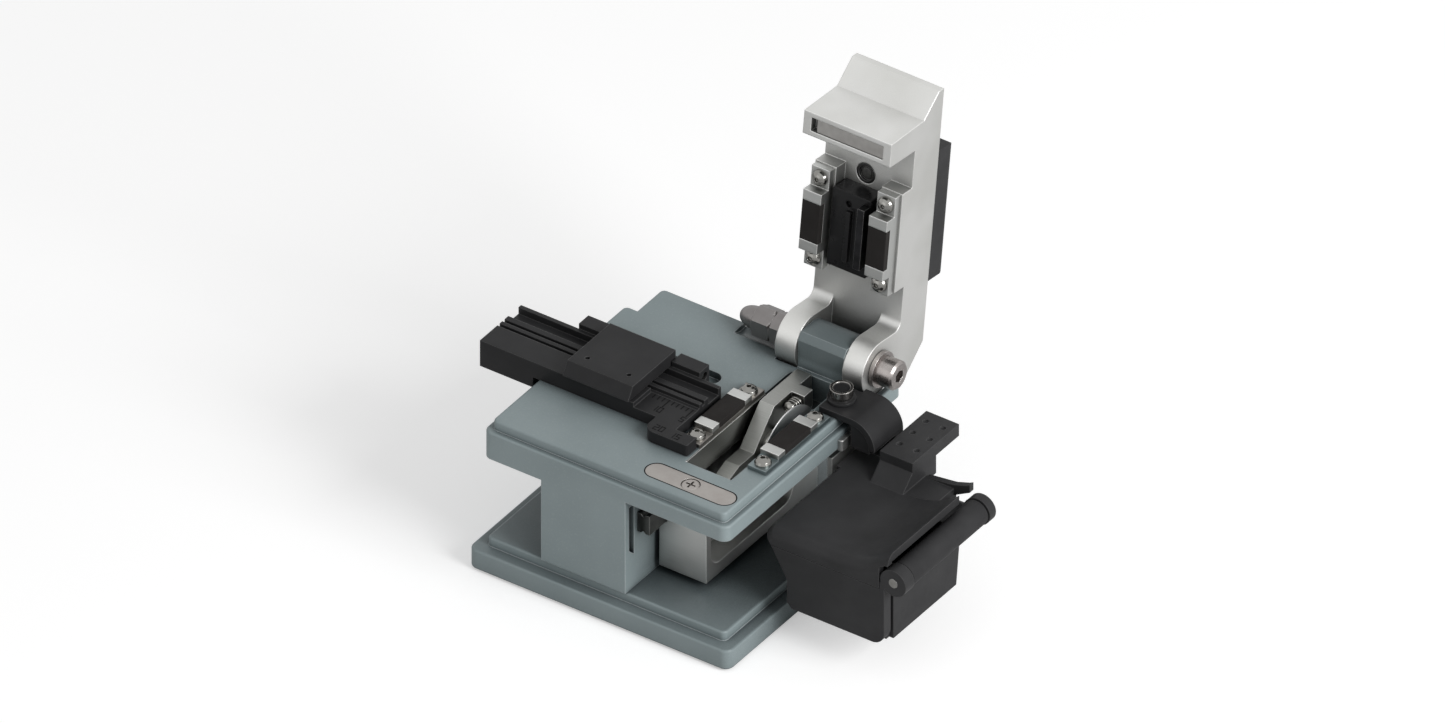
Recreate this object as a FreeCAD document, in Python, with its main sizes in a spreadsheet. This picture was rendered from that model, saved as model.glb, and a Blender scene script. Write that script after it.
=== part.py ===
# Fibre cleaver: a bench tool that scores and snaps an optical fibre.
# Frame: X to the right along the fibre, Y to the back, Z up, origin at the centre of the rest face.
# The fibre lies along X in the holder and over the two lower clamps. The blade carriage slides
# along Y beneath it, and the lid swings over from the back on a hinge along X.
import FreeCAD, Part
import math
import os
import re

import Sketcher

os.makedirs("parts", exist_ok=True)
doc = FreeCAD.newDocument("fibre_cleaver")

# Driving dimensions in millimetres and degrees.
SIZES = {
    # base plate and its rubber sheet
    "base_width": 55.0,
    "base_depth": 57.5,
    "pad_proud": 0.2,
    "pad_thick": 1.0,
    "pad_margin": 5.0,
    "base_screw_inset": 3.6,
    "base_screw_front": 9.0,
    "base_screw_back": 14.0,
    "base_screw_radius": 1.5,
    "base_screw_head": 2.6,
    "base_screw_head_rise": 2.0,
    "base_screw_length": 8.0,
    "base_rim_top": 4.3,
    "base_step_rise": 1.9,
    "base_step_inset": 2.4,
    "base_corner": 1.7,
    "step_corner": 1.0,
    "soft_edge": 0.4,
    # pedestal and deck of the body
    "pedestal_left": 13.4,
    "pedestal_right": 4.35,
    "deck_half_width": 25.75,
    "deck_front_inset": 2.0,
    "deck_back_inset": 1.7,
    "deck_top": 31.0,
    "deck_step_rise": 1.95,
    "deck_step_inset": 1.2,
    "deck_skirt": 5.65,
    "deck_thin": 5.1,
    "deck_corner": 1.7,
    "notch_width": 2.5,
    "notch_front": 45.2,
    "notch_depth": 2.8,
    "rib_front": 47.6,
    "rib_back": 51.6,
    "rib_drop": 6.5,
    "nut_recess_left": 4.6,
    "swing_recess_left": 22.0,
    "swing_recess_right": 1.5,
    "swing_recess_front": 33.2,
    "swing_recess_back": 36.8,
    "swing_recess_deep": 1.5,
    "catch_front": 36.0,
    "catch_long": 3.4,
    "catch_low": 25.6,
    "catch_tall": 2.2,
    "catch_thick": 0.95,
    # slot in the deck for the blade
    "slot_left": 10.0,
    "slot_right": 19.7,
    "slot_front": 12.2,
    "slot_back": 45.4,
    "slot_corner": 2.0,
    # stop groove in the pedestal's flank
    "groove_front": 3.25,
    "groove_width": 1.5,
    "groove_low": 13.2,
    "groove_high": 24.0,
    "groove_depth": 2.0,
    # fibre line
    "fibre_back": 26.55,
    "fibre_rise": 2.0,
    "lid_centre": 15.1,
    # lid hinge
    "hinge_back": 50.7,
    "hinge_rise": 2.8,
    "hub_radius": 5.2,
    "hub_width": 4.2,
    "lug_width": 9.8,
    "ear_gap": 0.1,
    "side_play": 0.3,
    "lug_front": 4.4,
    "lug_rise": 4.2,
    "lug_chamfer_deep": 0.95,
    "lug_chamfer_tall": 1.3,
    "bolt_radius": 1.5,
    "bolt_head_radius": 2.75,
    "bolt_head_rise": 3.4,
    "bolt_socket": 1.25,
    "washer_radius": 3.4,
    "washer_thick": 0.8,
    "brass_washer_thick": 0.6,
    "nut_across": 3.2,
    "nut_thick": 2.4,
    "acorn_thick": 3.8,
    "acorn_neck": 2.0,
    "acorn_dome": 2.15,
    "acorn_rise": 3.7,
    "shaft_play": 0.05,
    "swing_play": 0.4,
    "tail_start": 1.2,
    "tail_foot": 2.6,
    "tail_drop": 4.5,
    # lid arm, measured along the arm from the hinge and forward of it
    "lid_lean": 7.4,
    "arm_back": 13.6,
    "arm_front": 5.9,
    "seat_front": 3.0,
    "seat_low": 13.8,
    "seat_high": 33.6,
    "bar_low": 41.2,
    "bar_high": 45.8,
    "bar_front": 2.0,
    "flap_foot": 46.3,
    "flap_top": 50.4,
    "flap_thick": 1.5,
    "heel_low": 7.2,
    "heel_front": 7.4,
    "heel_rise": 0.4,
    "web_low": 2.8,
    "inner_round": 1.8,
    # magnet in the bar of the lid
    "magnet_left": 7.5,
    "magnet_right": 22.7,
    "magnet_tall": 2.5,
    "magnet_deep": 1.6,
    "magnet_gap": 1.2,
    # black housing on the back of the lid
    "housing_low": 11.3,
    "housing_high": 37.5,
    "housing_deep": 5.2,
    "housing_side": 0.2,
    "housing_round": 1.4,
    "housing_wall": 1.2,
    # fibre clamps, lower and upper
    "clamp_length": 12.0,
    "clamp_width": 3.8,
    "pad_length": 7.9,
    "clamp_pad_thick": 1.2,
    "foot_thick": 0.8,
    "upper_foot": 1.5,
    "foot_length": 3.9,
    "clamp_left": 8.1,
    "clamp_right": 22.0,
    "clamp_opening": 0.15,
    "clamp_shift": 0.7,
    "screw_head_radius": 1.55,
    "screw_head_rise": 1.2,
    "screw_socket": 0.5,
    "screw_radius": 0.8,
    "screw_length": 4.0,
    "screw_play": 0.05,
    # anvil on the lid
    "anvil_left": 4.5,
    "anvil_right": 3.6,
    "anvil_thick": 4.0,
    "anvil_blade_gap": 0.45,
    "anvil_half_width": 0.7,
    "anvil_half_length": 6.0,
    "carrier_low": 15.0,
    "carrier_high": 30.5,
    "carrier_ridge": 14.65,
    "ridge_low": 17.2,
    "ridge_high": 27.2,
    "ridge_half": 0.5,
    "ridge_rise": 0.9,
    "carrier_hole_x": 14.1,
    "carrier_hole_up": 28.2,
    "carrier_hole": 0.65,
    "seat_width": 4.4,
    "button_deep": 1.4,
    "button_dish": 0.5,
    "button_radius": 1.45,
    "button_ring": 1.9,
    "button_up": 32.9,
    "button_side": -0.5,
    # strike plate in the deck
    "strike_length": 18.3,
    "strike_width": 4.1,
    "strike_thick": 1.5,
    "strike_back": 7.2,
    "strike_centre": 14.6,
    "strike_head": 1.65,
    "strike_cross": 1.0,
    "fit_gap": 0.1,
    # blade carriage, its rail and its travel
    "rail_width": 2.6,
    "rail_low": 17.6,
    "rail_high": 21.6,
    "rail_front": 5.7,
    "rail_back": 47.2,
    "rail_groove": 0.5,
    "rail_screw_first": 12.0,
    "rail_screw_pitch": 14.0,
    "rail_screw_head": 1.3,
    "rail_screw_rise": 1.0,
    "rail_screw_radius": 0.8,
    "rail_screw_length": 6.0,
    "carriage_left": 5.5,
    "carriage_right": 15.4,
    "carriage_front": 10.8,
    "carriage_length": 34.0,
    "carriage_low": 7.7,
    "carriage_high": 23.8,
    "runner_width": 4.0,
    "runner_tall": 7.0,
    "runner_front": 13.4,
    "runner_length": 18.0,
    "slide_gap": 0.15,
    "window_front": 12.2,
    "window_back": 37.5,
    "window_low": 10.2,
    "window_high": 21.6,
    "window_deep": 4.6,
    "window_corner": 3.0,
    # blade bracket
    "bracket_left": 11.3,
    "bracket_thick": 3.0,
    "bracket_toe": 17.8,
    "bracket_shelf": 22.6,
    "bracket_slope": 27.0,
    "bracket_head": 33.2,
    "bracket_heel": 44.6,
    "bracket_shelf_top": 25.5,
    "bracket_top": 32.0,
    # round blade
    "blade_radius": 8.5,
    "blade_plane": 18.0,
    "blade_thick": 0.8,
    "blade_bevel": 2.3,
    "blade_edge": 0.12,
    "blade_gap": 0.05,
    "blade_back": 32.1,
    "blade_bite": 0.15,
    "hub_disc": 3.2,
    "spigot": 2.0,
    "hub_screw_head": 1.9,
    "hub_screw_rise": 0.9,
    "hub_screw_radius": 0.8,
    "hub_screw_length": 2.4,
    # blade height screw and its spring
    "adjuster_back": 36.2,
    "adjuster_length": 5.0,
    "adjuster_radius": 0.75,
    "adjuster_head": 1.25,
    "adjuster_rise": 1.0,
    "adjuster_x": 15.6,
    "adjuster_z": 30.4,
    "yoke_front": 38.5,
    "yoke_back": 41.0,
    "yoke_low": 28.5,
    "yoke_right": 17.0,
    "spring_radius": 1.25,
    "spring_wire": 0.16,
    "spring_turns": 3.5,
    # fibre holder
    "holder_left": 37.0,
    "holder_right": 5.2,
    "holder_front": 17.5,
    "holder_back": 33.0,
    "holder_top": 34.3,
    "holder_under": 28.8,
    "channel_front": 26.2,
    "channel_back": 29.3,
    "channel_floor": 32.9,
    "fence_back": 30.1,
    "slit_width": 0.7,
    "slit_deep": 0.8,
    "slit_first": 23.2,
    "slit_second": 24.7,
    "knuckle_front": 30.1,
    "knuckle_top": 35.4,
    "knuckle_left": 24.8,
    "knuckle_right": 0.7,
    "holder_pin_back": 31.6,
    "holder_pin_z": 33.7,
    "holder_pin_radius": 0.8,
    # lid of the fibre holder
    "cover_left": 19.2,
    "cover_right": 5.4,
    "cover_front": 17.0,
    "cover_back": 31.6,
    "cover_top": 36.9,
    "cover_bevel": 1.5,
    "presser_thick": 1.3,
    "presser_inset": 2.0,
    "presser_gap": 0.35,
    "presser_play": 0.3,
    "cover_barrel": 1.3,
    "cover_bottom_gap": 0.1,
    "cover_hole_side": 2.55,
    "cover_hole_front": 20.95,
    "cover_pin_hole": 0.45,
    "cover_pin_hole_deep": 0.6,
    # ruler shelf
    "ruler_front": 13.4,
    "ruler_left": 0.2,
    "ruler_right": 9.5,
    "ruler_top": 33.4,
    "ruler_strip_left": 4.6,
    "ruler_strip_back": 22.9,
    "ruler_tongue_back": 16.3,
    "ruler_corner": 2.0,
    # scrap bin
    "bin_front": 13.0,
    "bin_back": 36.0,
    "bin_left": 30.9,
    "bin_right": 51.4,
    "bin_low": 7.9,
    "bin_elbow": 13.8,
    "bin_top_left": 26.6,
    "bin_shoulder": 21.4,
    "bin_wall": 1.6,
    "bin_front_wall": 2.0,
    "bin_rear_lean": 0.9,
    "bin_rear_foot": 15.6,
    "bin_corner": 2.6,
    "bin_foot": 1.0,
    "bin_groove": 0.9,
    "bin_lug_left": 28.0,
    "bin_lug_width": 2.4,
    "bin_lug_right": 47.3,
    "bin_lug_radius": 1.5,
    "bin_pin_radius": 0.7,
    "boss_left": 28.6,
    "boss_high": 18.0,
    "cheek_front": 2.6,
    "cheek_rear": 1.8,
    "roller_x": 53.3,
    "roller_z": 22.2,
    "roller_radius": 2.5,
    "roller_back": 40.6,
    "roller_gap": 0.35,
    "cheek_radius": 2.7,
    "axle_radius": 0.9,
    # cover of the bin with its thumb tab
    "chute_thick": 1.4,
    "skirt_thick": 1.4,
    "chute_left": 26.2,
    "chute_flat": 41.0,
    "chute_lip": 52.1,
    "chute_round": 16.5,
    "chute_back": 35.0,
    "chute_roll": 2.0,
    "cover_skirt": 19.9,
    "cover_bevel_left": 0.9,
    "cover_rear": 41.5,
    "cover_plate_right": 46.8,
    "horn_front": 40.95,
    "horn_back": 42.1,
    "horn_right": 50.2,
    "chute_gap": 0.3,
    "seam_gap": 0.12,
    "tab_left": 33.7,
    "tab_right": 40.6,
    "tab_front": 37.4,
    "tab_back": 51.6,
    "tab_step": 44.6,
    "tab_top": 28.0,
    "tab_thick": 2.5,
    "cover_pin_back": 40.4,
    "cover_pin_z": 19.6,
    "dimple_radius": 0.55,
    "dimple_deep": 0.3,
    "dimple_pitch": 3.6,
    "dimple_rows": 4.0,
    # bracket that carries the bin, and its thumb screw
    "strap_left": 20.9,
    "strap_front": 37.3,
    "strap_back": 46.1,
    "strap_thick": 1.3,
    "strap_right": 32.6,
    "strap_round": 5.0,
    "strap_low": 14.5,
    "strap_wide_low": 27.0,
    "strap_tail_front": 43.6,
    "strap_notch_x": 24.8,
    "strap_notch_y": 44.9,
    "strap_block_left": 27.4,
    "strap_block_low": 26.0,
    "strap_screw_radius": 0.8,
    "strap_screw_length": 3.0,
    "strap_screw_head": 1.2,
    "strap_screw_rise": 0.8,
    "thumb_x": 23.0,
    "thumb_back": 41.2,
    "thumb_radius": 2.1,
    "thumb_rise": 2.6,
    "thumb_flange": 2.6,
    "thumb_flange_rise": 0.6,
    "thumb_shank": 1.0,
    "thumb_reach": 4.0,
}

# Places worked out from the driving dimensions, each written once.
PLACES = {
    "front": "-base_depth/2",
    "back": "base_depth/2",
    "base_top": "base_rim_top + base_step_rise",
    "deck_front": "front + deck_front_inset",
    "deck_back": "back - deck_back_inset",
    "deck_rim": "deck_top - deck_step_rise",
    "deck_skirt_low": "deck_rim - deck_skirt",
    "deck_thin_low": "deck_top - deck_thin",
    "fibre_y": "front + fibre_back",
    "fibre_z": "deck_top + fibre_rise",
    "hinge_y": "front + hinge_back",
    "hinge_z": "deck_top + hinge_rise",
    "lug_left": "lid_centre - lug_width/2",
    "lug_right": "lid_centre + lug_width/2",
    "ear_left_in": "lug_left - ear_gap",
    "ear_right_in": "lug_right + ear_gap",
    "ear_left_out": "ear_left_in - hub_width",
    "ear_right_out": "ear_right_in + hub_width",
    "runner_left": "pedestal_right + 0.85",
    "runner_right": "carriage_left + runner_width",
    "rail_right": "pedestal_right + rail_width",
    "rail_middle": "(rail_low + rail_high)/2",
    "blade_y": "front + blade_back",
    "blade_z": "fibre_z + blade_bite - blade_radius",
    "bracket_right": "bracket_left + bracket_thick",
    "holder_pin_y": "front + holder_pin_back",
    "cover_pin_y": "front + cover_pin_back",
    "thumb_y": "front + thumb_back",
    "pad_face": "fibre_z + clamp_opening",
    "upper_pad_front": "hinge_z - pad_face",
    "arm_fibre": "hinge_y - fibre_y",
    "arm_clamp": "arm_fibre - clamp_shift",
    "pedestal_back": "front + rib_back",
    "clamp_screw": "(clamp_length + foot_length)/2",
    "upper_rise": "seat_front + upper_pad_front",
    "anvil_tip": "hinge_z - fibre_z - blade_bite - anvil_blade_gap",
    "rail_seat": "rail_right - rail_screw_rise",
    "shoulder": "blade_plane - blade_thick/2 - blade_gap",
    "hub_end": "blade_plane + blade_thick/2 + blade_gap",
    "cover_low": "holder_top + cover_bottom_gap",
    "bin_lip": "bin_shoulder",
    "cover_flat": "bin_lip + chute_gap + chute_thick",
    "strap_top": "deck_top + strap_thick",
    "strap_inner": "strap_right - strap_thick",
    "strap_bend_x": "strap_right - strap_round",
    "strap_bend_z": "strap_top - strap_round",
}


# Expressions and sketches

sheet = doc.addObject("Spreadsheet::Sheet", "Sizes")
for row, (alias, number) in enumerate(SIZES.items(), start=1):
    sheet.set("A%d" % row, alias)
    sheet.set("B%d" % row, str(number))
    sheet.setAlias("B%d" % row, alias)
doc.recompute()


def link(text):
    """Turn words of SIZES and PLACES into one expression on the sheet."""
    def replace(match):
        word = match.group(0)
        if word in PLACES:
            return "(" + link(PLACES[word]) + ")"
        return "Sizes." + word if word in SIZES else word
    return re.sub(r"[a-z_]+", replace, str(text))


def value(text):
    """The present number of an expression."""
    return float(sheet.evalExpression(link(text)))


def bind(thing, name, text):
    thing.setExpression(name, link(text))


def new_body(label):
    body = doc.addObject("PartDesign::Body", label)
    body.Label = label
    return body


def new_sketch(body, plane, level):
    """A sketch on one plane of the body's origin, moved to a level along the row axis."""
    sketch = body.newObject("Sketcher::SketchObject", body.Label + "_sketch")
    origin = [item for item in body.Origin.OriginFeatures if item.Role == plane + "_Plane"][0]
    sketch.AttachmentSupport = [(origin, "")]
    sketch.MapMode = "FlatFace"
    sign = "-1" if plane == "XZ" else "1"
    bind(sketch, ".AttachmentOffset.Base.z", "%s*(%s)" % (sign, level))
    return sketch


def fix_points(sketch, ties):
    """Hold points of the geometry at expressions: (geometry, point, across, up)."""
    rules = []
    texts = []
    for geometry, point, across, up in ties:
        for kind, text in (("DistanceX", across), ("DistanceY", up)):
            rules.append(Sketcher.Constraint(kind, -1, 1, geometry, point, value(text)))
            texts.append(text)
    for index, text in zip(sketch.addConstraint(rules), texts):
        bind(sketch, "Constraints[%d]" % index, text)


def fix_radius(sketch, geometry, radius):
    rule = sketch.addConstraint(Sketcher.Constraint("Radius", geometry, value(radius)))
    bind(sketch, "Constraints[%d]" % rule, radius)


def spot(across, up):
    return FreeCAD.Vector(value(across), value(up), 0)


def outline(*points):
    """Closed profile through the points. A point is (across, up) for a straight side to the next
    one, or (across, up, radius, way) for a short arc that bends left (1) or right (-1)."""
    def draw(sketch):
        first = sketch.GeometryCount
        total = len(points)
        corners = [spot(point[0], point[1]) for point in points]
        ends = []
        for i, point in enumerate(points):
            start, finish = corners[i], corners[(i + 1) % total]
            if len(point) == 2:
                sketch.addGeometry(Part.LineSegment(start, finish))
                ends.append((1, 2))
                continue
            radius, way = value(point[2]), point[3]
            chord = finish - start
            rise = math.sqrt(max(radius ** 2 - chord.Length ** 2 / 4, 0.0))
            side = FreeCAD.Vector(-chord.y, chord.x, 0).normalize()
            centre = (start + finish) * 0.5 + side * (rise * way)
            angles = [math.atan2(end.y - centre.y, end.x - centre.x) for end in (start, finish)]
            if way < 0:
                angles.reverse()
            if angles[1] < angles[0]:
                angles[1] += 2 * math.pi
            circle = Part.Circle(centre, FreeCAD.Vector(0, 0, 1), radius)
            sketch.addGeometry(Part.ArcOfCircle(circle, *angles))
            ends.append((1, 2) if way > 0 else (2, 1))
        joins = []
        for i in range(total):
            follower = (i + 1) % total
            joins.append(Sketcher.Constraint(
                "Coincident", first + i, ends[i][1], first + follower, ends[follower][0]))
        sketch.addConstraint(joins)
        fix_points(sketch, [(first + i, ends[i][0], points[i][0], points[i][1]) for i in range(total)])
        for i, point in enumerate(points):
            if len(point) > 2:
                fix_radius(sketch, first + i, point[2])
    return draw


def corners(left, right, low, high):
    return [(left, low), (right, low), (right, high), (left, high)]


def oblong(left, right, low, high):
    """Rectangle between two values across and two up."""
    return outline(*corners(left, right, low, high))


def disc(across, up, radius):
    """Circle about a point."""
    def draw(sketch):
        circle = Part.Circle(spot(across, up), FreeCAD.Vector(0, 0, 1), value(radius))
        index = sketch.addGeometry(circle)
        fix_points(sketch, [(index, 3, across, up)])
        fix_radius(sketch, index, radius)
    return draw


def stadium(left, right, middle, radius):
    """Slot outline: two straight sides, and two quarter circles about each end."""
    low, high = "%s - (%s)" % (middle, radius), "%s + (%s)" % (middle, radius)
    return outline(
        (left, low),
        (right, low, radius, 1),
        ("%s + (%s)" % (right, radius), middle, radius, 1),
        (right, high),
        (left, high, radius, 1),
        ("%s - (%s)" % (left, radius), middle, radius, 1))


def hexagon(across, up, radius):
    """Six corners on a circle, with a corner straight up."""
    rise = "(%s)*0.5" % radius
    reach = "(%s)*sqrt(0.75)" % radius
    return outline(
        (across, "%s - (%s)" % (up, radius)),
        ("%s + %s" % (across, reach), "%s - %s" % (up, rise)),
        ("%s + %s" % (across, reach), "%s + %s" % (up, rise)),
        (across, "%s + (%s)" % (up, radius)),
        ("%s - %s" % (across, reach), "%s + %s" % (up, rise)),
        ("%s - %s" % (across, reach), "%s - %s" % (up, rise)))


def cross(across, up, reach):
    """Cross recess: four arms of one reach, each two fifths as wide as it is long."""
    wide, spots = "(%s)*0.2" % reach, []
    for turned in range(4):
        for along_arm, side in ((wide, "-"), (reach, "-"), (reach, "")):
            first, second = "(%s)" % along_arm, "%s(%s)" % (side, wide)
            for _ in range(turned):
                first, second = "-(%s)" % second, first
            spots.append(("%s + (%s)" % (across, first), "%s + (%s)" % (up, second)))
    return outline(*spots)


# Features

def extrude(kind, body, plane, shapes, low, high):
    """Pad or pocket of a profile between two levels along the plane's axis."""
    sketch = new_sketch(body, plane, low)
    for draw in shapes if isinstance(shapes, (list, tuple)) else [shapes]:
        draw(sketch)
    feature = body.newObject("PartDesign::" + kind, body.Label + "_" + kind.lower())
    feature.Profile = sketch
    bind(feature, "Length", "(%s) - (%s)" % (high, low))
    feature.Reversed = (plane == "XZ") == (kind == "Pad")
    before = body.Shape.Volume if kind == "Pocket" else 0.0
    doc.recompute()
    if kind == "Pocket" and body.Shape.Volume > before - 1e-6:
        raise RuntimeError("a pocket of %s cuts nothing" % body.Label)
    return feature


def pad(body, plane, shapes, low, high):
    return extrude("Pad", body, plane, shapes, low, high)


def pocket(body, plane, shapes, low, high):
    return extrude("Pocket", body, plane, shapes, low, high)


def turn(body, way, start, profile):
    """Revolve (distance along the axis, radius) pairs about an axis through a start point."""
    start_x, start_y, start_z = start
    sign = way[0]
    if way[1] == "Z":
        sketch = new_sketch(body, "XZ", start_y)
        points = [("%s + %s" % (start_x, radius), "%s %s (%s)" % (start_z, sign, along))
                  for along, radius in profile]
        line = (spot(start_x, start_z), spot(start_x, "%s + 1" % start_z))
        ties = ((start_x, start_z), (start_x, "%s + 1" % start_z))
    else:
        plane, level, across = ("XZ", start_y, start_x) if way[1] == "X" else ("YZ", start_x, start_y)
        sketch = new_sketch(body, plane, level)
        points = [("%s %s (%s)" % (across, sign, along), "%s + %s" % (start_z, radius))
                  for along, radius in profile]
        line = (spot(across, start_z), spot("%s + 1" % across, start_z))
        ties = ((across, start_z), ("%s + 1" % across, start_z))
    outline(*points)(sketch)
    axis = sketch.addGeometry(Part.LineSegment(*line), True)
    fix_points(sketch, [(axis, 1) + ties[0], (axis, 2) + ties[1]])
    feature = body.newObject("PartDesign::Revolution", body.Label + "_turning")
    feature.Profile = sketch
    feature.ReferenceAxis = (sketch, ["Axis0"])
    feature.Angle = 360.0
    doc.recompute()
    return feature


def fillet(body, radius, choose):
    """Round the edges of the body that a test chooses."""
    tip = body.Tip
    names = ["Edge%d" % number for number, edge in enumerate(tip.Shape.Edges, start=1) if choose(edge)]
    if not names:
        raise RuntimeError("no edge found on %s" % body.Label)
    feature = body.newObject("PartDesign::Fillet", body.Label + "_fillet")
    feature.Base = (tip, names)
    bind(feature, "Radius", radius)
    doc.recompute()
    return feature


NEAR = 0.01


def along(axis, *corners):
    """Edges parallel to an axis through one of the corners, given in the other two axes."""
    others = [name for name in "xyz" if name != axis]
    places = [(value(first), value(second)) for first, second in corners]

    def choose(edge):
        first, last = edge.Vertexes[0].Point, edge.Vertexes[-1].Point
        if abs(getattr(first, axis) - getattr(last, axis)) < NEAR:
            return False
        for place in places:
            gaps = [abs(getattr(point, name) - want)
                    for point in (first, last) for name, want in zip(others, place)]
            if max(gaps) < NEAR:
                return True
        return False
    return choose


def rim(axis, level, keep=None):
    """Edges that lie in one level, and pass a further test of their box if one is given."""
    height = value(level)

    def choose(edge):
        box = edge.BoundBox
        low, high = getattr(box, axis.upper() + "Min"), getattr(box, axis.upper() + "Max")
        flat = abs(low - height) < NEAR and abs(high - height) < NEAR
        return flat and (keep is None or keep(box))
    return choose


NODES = []


def node(label, *bodies):
    """Name one sub-part. Several bodies become one group of separate solids."""
    if len(bodies) == 1:
        NODES.append(bodies[0])
        return bodies[0]
    group = doc.addObject("Part::Compound", label + "_group")
    group.Links = list(bodies)
    group.Label = label
    NODES.append(group)
    return group


def lean(body):
    """Stand a body of the lid at the hinge, leaned back by the lid's angle."""
    place = FreeCAD.Vector(0, value("hinge_y"), value("hinge_z"))
    tilt = FreeCAD.Rotation(FreeCAD.Vector(-1, 0, 0), value("lid_lean"))
    body.Placement = FreeCAD.Placement(place, tilt)
    bind(body, ".Placement.Base.y", "hinge_y")
    bind(body, ".Placement.Base.z", "hinge_z")
    bind(body, ".Placement.Rotation.Angle", "lid_lean")


# Parts used more than once

FACING = {"X": "YZ", "Y": "XZ", "Z": "XY"}


ROUND_HEAD = (("0.25", "1"), ("0.6", "0.87"), ("0.87", "0.6"), ("1", "0.36"))
CAP_HEAD = (("0.88", "1"), ("1", "0.86"))


def screw(label, way, start, shank, length, head, rise, socket, crown=ROUND_HEAD, drive=hexagon):
    """Screw whose head rises from the start point along the way. The crown gives the rim of the
    head as shares of its rise and radius."""
    body = new_body(label)
    turn(body, way, start, [
        ("-(%s)" % length, "0"),
        ("-(%s)" % length, shank),
        ("0", shank),
        ("0", head),
    ] + [("(%s)*%s" % (rise, up), "(%s)*%s" % (head, out)) for up, out in crown] + [(rise, "0")])
    sign, axis = way
    level = dict(zip("XYZ", start))[axis]
    across, up = [place for name, place in zip("XYZ", start) if name != axis]
    outer = "%s %s (%s)" % (level, sign, rise)
    inner = "%s %s (%s)*0.5" % (level, sign, rise)
    low, high = (inner, outer) if sign == "+" else (outer, inner)
    pocket(body, FACING[axis], drive(across, up, socket), low, high)
    return body


def clamp_points(place):
    """Profile of a fibre clamp: two thin feet, and a block with a seat for the rubber."""
    tall, thick = ("upper_rise", "upper_foot") if place is upper else ("fibre_rise", "foot_thick")
    half, foot, rest = "clamp_length/2", "(clamp_length/2 + foot_length)", "%s - clamp_pad_thick" % tall
    near = [("-" + foot, "0"), ("-" + foot, thick), ("-" + half, thick), ("-" + half, tall),
            ("-pad_length/2", tall), ("-pad_length/2", rest)]
    far = [(along_clamp[1:] if along_clamp[0] == "-" else along_clamp, rise)
           for along_clamp, rise in reversed(near)]
    return outline(*[place(along_clamp, rise) for along_clamp, rise in near + far])


def lower(along_clamp, rise):
    return ("fibre_y + (%s)" % along_clamp, "deck_top + (%s)" % rise)


def upper(along_clamp, rise):
    return ("seat_front - (%s)" % rise, "arm_clamp + (%s)" % along_clamp)


def clamp(label, centre, place):
    body = new_body(label)
    sides = ("%s - clamp_width/2" % centre, "%s + clamp_width/2" % centre)
    pad(body, "YZ", clamp_points(place), *sides)
    return body


def rubber(label, centre, place, tall):
    body = new_body(label)
    ends = [place("-pad_length/2", "%s - clamp_pad_thick" % tall),
            place("pad_length/2", "%s - clamp_pad_thick" % tall),
            place("pad_length/2", tall), place("-pad_length/2", tall)]
    pad(body, "YZ", outline(*ends), "%s - clamp_width/2" % centre, "%s + clamp_width/2" % centre)
    return body


# Base plate on its rubber sheet

plate_edge = ("-base_width/2", "base_width/2", "front", "back")
step_edge = ("-base_width/2 + base_step_inset", "base_width/2 - base_step_inset",
             "front + base_step_inset", "back - base_step_inset")
sheet_edge = ("-base_width/2 + pad_margin", "base_width/2 - pad_margin", "front + pad_margin",
              "back - pad_margin")
base_spots = [(x, y) for x in ("-pedestal_left + base_screw_inset", "pedestal_right - base_screw_inset")
              for y in ("front + base_screw_front", "back - base_screw_back")]
screw_seat = "pad_thick + base_screw_head_rise + 0.2"

base_plate = new_body("base_plate")
pad(base_plate, "XY", oblong(*plate_edge), "pad_proud", "base_rim_top")
fillet(base_plate, "base_corner", along("z", *corners(*plate_edge)))
fillet(base_plate, "soft_edge", rim("z", "pad_proud"))
fillet(base_plate, "soft_edge", rim("z", "base_rim_top"))
pad(base_plate, "XY", oblong(*step_edge), "base_rim_top", "base_top")
fillet(base_plate, "step_corner", along("z", *corners(*step_edge)))
fillet(base_plate, "soft_edge", rim("z", "base_top"))
pocket(base_plate, "XY", oblong(*sheet_edge), "pad_proud", "pad_thick")
pocket(base_plate, "XY", [disc(x, y, "base_screw_head + fit_gap") for x, y in base_spots],
       "pad_thick", screw_seat)
pocket(base_plate, "XY", [disc(x, y, "base_screw_radius + shaft_play") for x, y in base_spots],
       screw_seat, "base_top")
node("base_plate", base_plate)

base_pad = new_body("base_pad")
inner_edge = [text + gap for text, gap in zip(sheet_edge, (" + fit_gap", " - fit_gap", " + fit_gap",
                                                           " - fit_gap"))]
pad(base_pad, "XY", oblong(*inner_edge), "0", "pad_thick")
fillet(base_pad, "step_corner", along("z", *corners(*inner_edge)))
node("base_pad", base_pad)

node("base_screws", *[
    screw("base_screw_%d" % number, "-Z", (x, y, screw_seat), "base_screw_radius", "base_screw_length",
          "base_screw_head", "base_screw_head_rise", "base_screw_radius")
    for number, (x, y) in enumerate(base_spots, start=1)])

# Body: pedestal, stepped deck, hinge lug


def deck_outline(inset, right="deck_half_width"):
    """Corners of the deck seen from above, with its rear left corner set in."""
    left = "-deck_half_width + %s" % inset
    set_in = "-deck_half_width + notch_width + %s" % inset
    rear = "deck_back - notch_depth - %s" % inset
    far_right = "%s - %s" % (right, inset)
    points = [(left, "deck_front + %s" % inset), (far_right, "deck_front + %s" % inset)]
    if right == "deck_half_width":
        points += [(far_right, "deck_back - %s" % inset),
                   ("pedestal_right + %s" % inset, "deck_back - %s" % inset),
                   ("pedestal_right + %s" % inset, rear)]
    else:
        points += [(far_right, rear)]
    return points + [(set_in, rear), (set_in, "front + notch_front - %s" % inset),
                     (left, "front + notch_front - %s" % inset)]


def outward(points):
    """Outer corners of the deck."""
    return [points[i] for i in (0, 1, 2, -3, -1)]


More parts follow.
